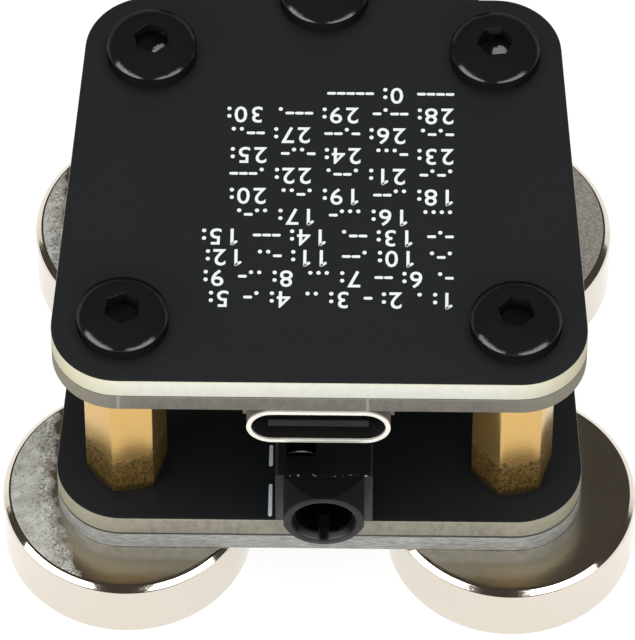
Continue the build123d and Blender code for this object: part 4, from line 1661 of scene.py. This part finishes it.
# Top screws: five M3 button heads with hexagon sockets, cold forged, blackened and oiled.
# Each stands at its own turn, as it was driven. The domes are smooth, the sockets' mouths bright.
head_sides = 96
head_radius = 2.85 * mm
head_height = 1.65 * mm
wall_height = 0.92 * mm
edge_rounding = 0.07 * mm
shoulder_slope = radians(50)
crown_slope = radians(8)
edge_steps = 3
dome_steps = 9
shank_radius = 1.46 * mm
shank_length = 6.0 * mm
shank_chamfer = 0.3 * mm
socket_flats = 2.0 * mm
socket_depth = 1.04 * mm
drill_depth = 0.5 * mm
mouth_break = 0.08 * mm
mouth_slack = mouth_break / 4
drill_sides = 48
drill_overlap = mouth_break / 10
screw_crease = radians(28)
oxide_colour = "424344"
oxide_metal = 0.87
oxide_edge_tint = "595959"
oxide_gloss_low = 0.04
oxide_gloss_high = 0.12
oxide_grain = 0.16 * mm
oxide_relief = 0.014 * mm
socket_glint_colour = "a3a4a3"
socket_glint_spots = ((-10.36 * mm, 0.5 * mm), (11.12 * mm, 0.62 * mm), (0.22 * mm, 5.0 * mm))
socket_glint_reach = 0.74 * mm
socket_glint_raggedness = 0.5 * mm
socket_glint_floor_share = 0.9
crown_z = cover_top_z + head_height
socket_turns = {
    "near_left_pillar": -6,
    "near_right_pillar": 17,
    "far_left_pillar": 12,
    "far_right_pillar": -23,
    "contact_post": 15,
}


def button_screw(seat_z):
    """One screw on the upright axis, its head on the seat: dome, shank, and a drilled hexagon socket."""
    bpy.ops.object.select_all(action="DESELECT")
    bpy.ops.mesh.primitive_circle_add(
        vertices=head_sides, radius=head_radius, fill_type="NGON", location=(0, 0, seat_z)
    )
    screw = settle(bpy.context.object, "button_screw")
    rings = [(head_radius, wall_height)]
    for step in range(1, edge_steps + 1):
        slope = pi / 2 + (shoulder_slope - pi / 2) * step / edge_steps
        rings.append(
            (head_radius - edge_rounding * (1 - sin(slope)), wall_height + edge_rounding * cos(slope))
        )
    shoulder_radius, shoulder_height = rings[-1]
    dome_radius = (head_height - shoulder_height) / (cos(crown_slope) - cos(shoulder_slope))
    for step in range(1, dome_steps + 1):
        slope = shoulder_slope + (crown_slope - shoulder_slope) * step / dome_steps
        inward = dome_radius * (sin(shoulder_slope) - sin(slope))
        upward = dome_radius * (cos(slope) - cos(shoulder_slope))
        rings.append((shoulder_radius - inward, shoulder_height + upward))
    radius, height = head_radius, 0
    open_with(screw, "FACE", lambda face: True)
    for ring_radius, ring_height in rings:
        bpy.ops.mesh.extrude_region_move(
            TRANSFORM_OT_translate={"value": (0, 0, ring_height - height), "orient_type": "GLOBAL"}
        )
        bpy.ops.transform.resize(
            value=(ring_radius / radius, ring_radius / radius, 1),
            center_override=(0, 0, seat_z + ring_height),
        )
        radius, height = ring_radius, ring_height
    bpy.ops.mesh.select_all(action="SELECT")
    bpy.ops.mesh.normals_make_consistent(inside=False)
    bpy.ops.object.mode_set(mode="OBJECT")

    # The seat side: a ring under the head, then the shank with a chamfered end
    open_with(screw, "FACE", lambda face: face.center.z < seat_z + mouth_break and face.normal.z < -0.9)
    bpy.ops.mesh.inset(thickness=head_radius - shank_radius)
    bpy.ops.mesh.extrude_region_move(
        TRANSFORM_OT_translate={"value": (0, 0, -shank_length), "orient_type": "GLOBAL"}
    )
    bpy.ops.object.mode_set(mode="OBJECT")
    tip_z = seat_z - shank_length
    open_with(screw, "EDGE", lambda a, b: a.z < tip_z + mouth_break and b.z < tip_z + mouth_break)
    bpy.ops.mesh.bevel(offset=shank_chamfer, segments=1, affect="EDGES")
    bpy.ops.object.mode_set(mode="OBJECT")

    # The socket: a hexagon cut by a six-sided punch, then the drill's cone at its floor
    bpy.ops.object.select_all(action="DESELECT")
    bpy.ops.mesh.primitive_cylinder_add(
        vertices=6, radius=socket_flats / sqrt(3), depth=2 * socket_depth, location=(0, 0, crown_z)
    )
    punch = bpy.context.object
    bpy.ops.object.select_all(action="DESELECT")
    bpy.ops.mesh.primitive_cone_add(
        vertices=drill_sides,
        radius1=0,
        radius2=socket_flats / 2,
        depth=drill_depth,
        location=(0, 0, crown_z - socket_depth - drill_depth / 2 + drill_overlap),
    )
    drill = bpy.context.object
    for tool in (punch, drill):
        cut = screw.modifiers.new("cut", "BOOLEAN")
        cut.operation = "DIFFERENCE"
        cut.object = tool
        select_only(screw)
        bpy.ops.object.modifier_apply(modifier=cut.name)
        bpy.data.objects.remove(tool)
    mouth_reach = socket_flats / sqrt(3) + mouth_slack
    mouth_floor_z = crown_z - mouth_slack
    open_with(
        screw,
        "EDGE",
        lambda a, b: min(a.z, b.z) > mouth_floor_z and max(a.xy.length, b.xy.length) < mouth_reach,
    )
    bpy.ops.mesh.bevel(offset=mouth_break, segments=2, affect="EDGES")
    close_smooth(screw, screw_crease)
    return screw


def black_oxide(name):
    """Blackened steel under oil: nearly black, glossy, with faint grain that frays the highlights.

    The grain is drawn coarser than forging leaves it, so that it shows.
    """
    material, shader = start_material(name, oxide_colour, oxide_metal, oxide_gloss_high)
    shader.inputs["Specular Tint"].default_value = linear(oxide_edge_tint)
    place = add_node(material, "ShaderNodeTexCoord", {}, {}).outputs["Object"]
    grains = add_node(
        material,
        "ShaderNodeTexNoise",
        {"Scale": 1 / oxide_grain, "Detail": 5.0, "Roughness": 0.65},
        {"Vector": place},
    )
    roughness = add_node(
        material,
        "ShaderNodeMapRange",
        {"From Min": 0.3, "From Max": 0.7, "To Min": oxide_gloss_low, "To Max": oxide_gloss_high},
        {"Value": grains.outputs["Fac"]},
    )
    bump = add_node(
        material,
        "ShaderNodeBump",
        {"Strength": 0.6, "Distance": oxide_relief},
        {"Height": grains.outputs["Fac"]},
    )
    join(material, shader, {"Roughness": roughness.outputs[0], "Normal": bump.outputs["Normal"]})

    # Painted highlight: a pale patch at one side of three sockets' floors stands for the light mirrored in
    # their drilled cones
    height = add_node(material, "ShaderNodeSeparateXYZ", {}, {"Vector": place}).outputs["Z"]
    in_socket = add_node(
        material,
        "ShaderNodeMath",
        {"operation": "LESS_THAN", 1: crown_z - socket_glint_floor_share * socket_depth},
        {0: height},
    )
    spot_z = crown_z - socket_depth - drill_depth / 2
    socket_glints = []
    for spot_x, spot_y in socket_glint_spots:
        apart = add_node(
            material,
            "ShaderNodeVectorMath",
            {"operation": "SUBTRACT", 1: Vector((spot_x, spot_y, spot_z))},
            {0: place},
        )
        reach = add_node(
            material, "ShaderNodeVectorMath", {"operation": "LENGTH"}, {0: apart.outputs["Vector"]}
        )
        ragged = add_node(
            material,
            "ShaderNodeMath",
            {"operation": "MULTIPLY_ADD", 1: socket_glint_raggedness},
            {0: grains.outputs["Fac"], 2: reach.outputs["Value"]},
        )
        inside = add_node(
            material, "ShaderNodeMath", {"operation": "LESS_THAN", 1: socket_glint_reach}, {0: ragged.outputs[0]}
        )
        socket_glints.append(inside.outputs[0])
    glint_share = socket_glints[0]
    for scrape in socket_glints[1:]:
        glint_share = add_node(
            material, "ShaderNodeMath", {"operation": "MAXIMUM"}, {0: glint_share, 1: scrape}
        ).outputs[0]
    socket_glint = add_node(
        material, "ShaderNodeMath", {"operation": "MULTIPLY"}, {0: glint_share, 1: in_socket.outputs[0]}
    )
    tone = add_node(
        material,
        "ShaderNodeMix",
        {"data_type": "RGBA", 6: linear(oxide_colour), 7: linear(socket_glint_colour)},
        {0: socket_glint.outputs[0]},
    )
    metal = add_node(
        material, "ShaderNodeMapRange", {"To Min": oxide_metal, "To Max": 0.0}, {"Value": socket_glint.outputs[0]}
    )
    join(material, shader, {"Base Color": tone.outputs[2], "Metallic": metal.outputs[0]})
    return material


first_screw = button_screw(cover_top_z)
screws = []
for pillar, turn in socket_turns.items():
    low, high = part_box(pillar)
    middle = (low + high) / 2
    placed = Matrix.Translation((middle.x, middle.y, 0)) @ Matrix.Rotation(radians(turn), 4, "Z")
    screws.append(copy_piece(first_screw, f"{pillar}_screw", placed))
bpy.data.objects.remove(first_screw)
select_only(screws[0])
for screw in screws:
    screw.select_set(True)
bpy.ops.object.join()
button_screws = settle(bpy.context.object, "top_button_screws")
dress(button_screws, black_oxide("black_oxide_steel"), "key_base", "black_screw", "top_screws")


# Studio: a white table that runs into a white background, two soft boxes low in front on the
# left and right, soft fills from the front, behind and above, and a dark ceiling for the level
# faces to mirror.
floor_size = 4.0
floor_drop = 0.02 * mm
table_colour = "8f8f8e"
table_white = 0.84
horizon_colour = "f2e6d8"
ceiling_level = 0.07
ceiling_starts = 0.05
ceiling_full = 0.09
bpy.ops.object.select_all(action="DESELECT")
bpy.ops.mesh.primitive_plane_add(size=floor_size, location=(0, 0, -floor_drop))
floor = settle(bpy.context.object, "studio_floor")
floor_material, floor_shader = start_material("white_table", table_colour, 0.0, 0.8)
floor_shader.inputs["Specular IOR Level"].default_value = 0.0
floor_shader.inputs["Emission Color"].default_value = linear("ffffff")
table_ray = add_node(floor_material, "ShaderNodeLightPath", {}, {})
seen = add_node(
    floor_material,
    "ShaderNodeMath",
    {"operation": "ADD"},
    {0: table_ray.outputs["Is Camera Ray"], 1: table_ray.outputs["Is Glossy Ray"]},
)
seen_or_through = add_node(
    floor_material,
    "ShaderNodeMath",
    {"operation": "ADD", "use_clamp": True},
    {0: seen.outputs[0], 1: table_ray.outputs["Is Transmission Ray"]},
)
table_glow = add_node(
    floor_material,
    "ShaderNodeMath",
    {"operation": "MULTIPLY", 1: table_white},
    {0: seen_or_through.outputs[0]},
)
join(floor_material, floor_shader, {"Emission Strength": table_glow.outputs[0]})
floor.data.materials.append(floor_material)

world = bpy.data.worlds.new("studio_air")
bpy.context.scene.world = world
world.use_nodes = True
background = world.node_tree.nodes["Background"]
direction = add_node(world, "ShaderNodeTexCoord", {}, {}).outputs["Generated"]
upward = add_node(world, "ShaderNodeSeparateXYZ", {}, {"Vector": direction}).outputs["Z"]
ceiling = add_node(
    world,
    "ShaderNodeMapRange",
    {"From Min": ceiling_starts, "From Max": ceiling_full, "To Min": 1.0, "To Max": ceiling_level},
    {"Value": upward},
)
air_colour = add_node(
    world,
    "ShaderNodeMix",
    {"data_type": "RGBA", 6: linear(horizon_colour), 7: linear("ffffff")},
    {0: ceiling.outputs[0]},
)
join(world, background, {"Color": air_colour.outputs[2], "Strength": ceiling.outputs[0]})

lamp_distance = 0.5
lamps = (
    ("left_soft_box", (-0.73, -0.53, 0.42), (0.53, 0.14), 1.1),
    ("right_soft_box", (0.57, -0.71, 0.42), (0.5, 0.16), 1.05),
    ("front_fill", (-0.2, -0.93, 0.3), (0.6, 0.3), 1.12),
    ("back_fill", (0.2, 0.93, 0.3), (0.6, 0.3), 0.9),
    ("top_fill", (0.0, 0.15, 0.99), (0.6, 0.6), 2.05),
)
for name, towards, size, power in lamps:
    lamp = bpy.data.lights.new(name, "AREA")
    lamp.shape = "RECTANGLE"
    lamp.size = size[0]
    lamp.size_y = size[1]
    lamp.energy = power
    stand = bpy.data.objects.new(name, lamp)
    bpy.context.collection.objects.link(stand)
    stand.location = Vector(towards).normalized() * lamp_distance
    stand.rotation_euler = (-stand.location).to_track_quat("-Z", "Y").to_euler()
    stand.visible_glossy = "fill" not in name

camera_place = Vector((3.44, -309.9, 427.5)) * mm
camera_pitch = radians(54.363)
camera_yaw = radians(-0.703)
camera_lens = 452.98
camera_sensor = 36.0
camera = bpy.data.cameras.new("photo_camera")
camera.sensor_width = camera_sensor
camera.lens = camera_lens
camera_stand = bpy.data.objects.new("photo_camera", camera)
bpy.context.collection.objects.link(camera_stand)
level_reach = cos(camera_pitch)
view_line = Vector((sin(camera_yaw) * level_reach, cos(camera_yaw) * level_reach, -sin(camera_pitch)))
camera_stand.location = camera_place
camera_stand.rotation_euler = view_line.to_track_quat("-Z", "Y").to_euler()
camera.clip_start = 0.01
camera.clip_end = 10.0
bpy.context.scene.camera = camera_stand
bpy.context.scene.view_settings.view_transform = "Standard"
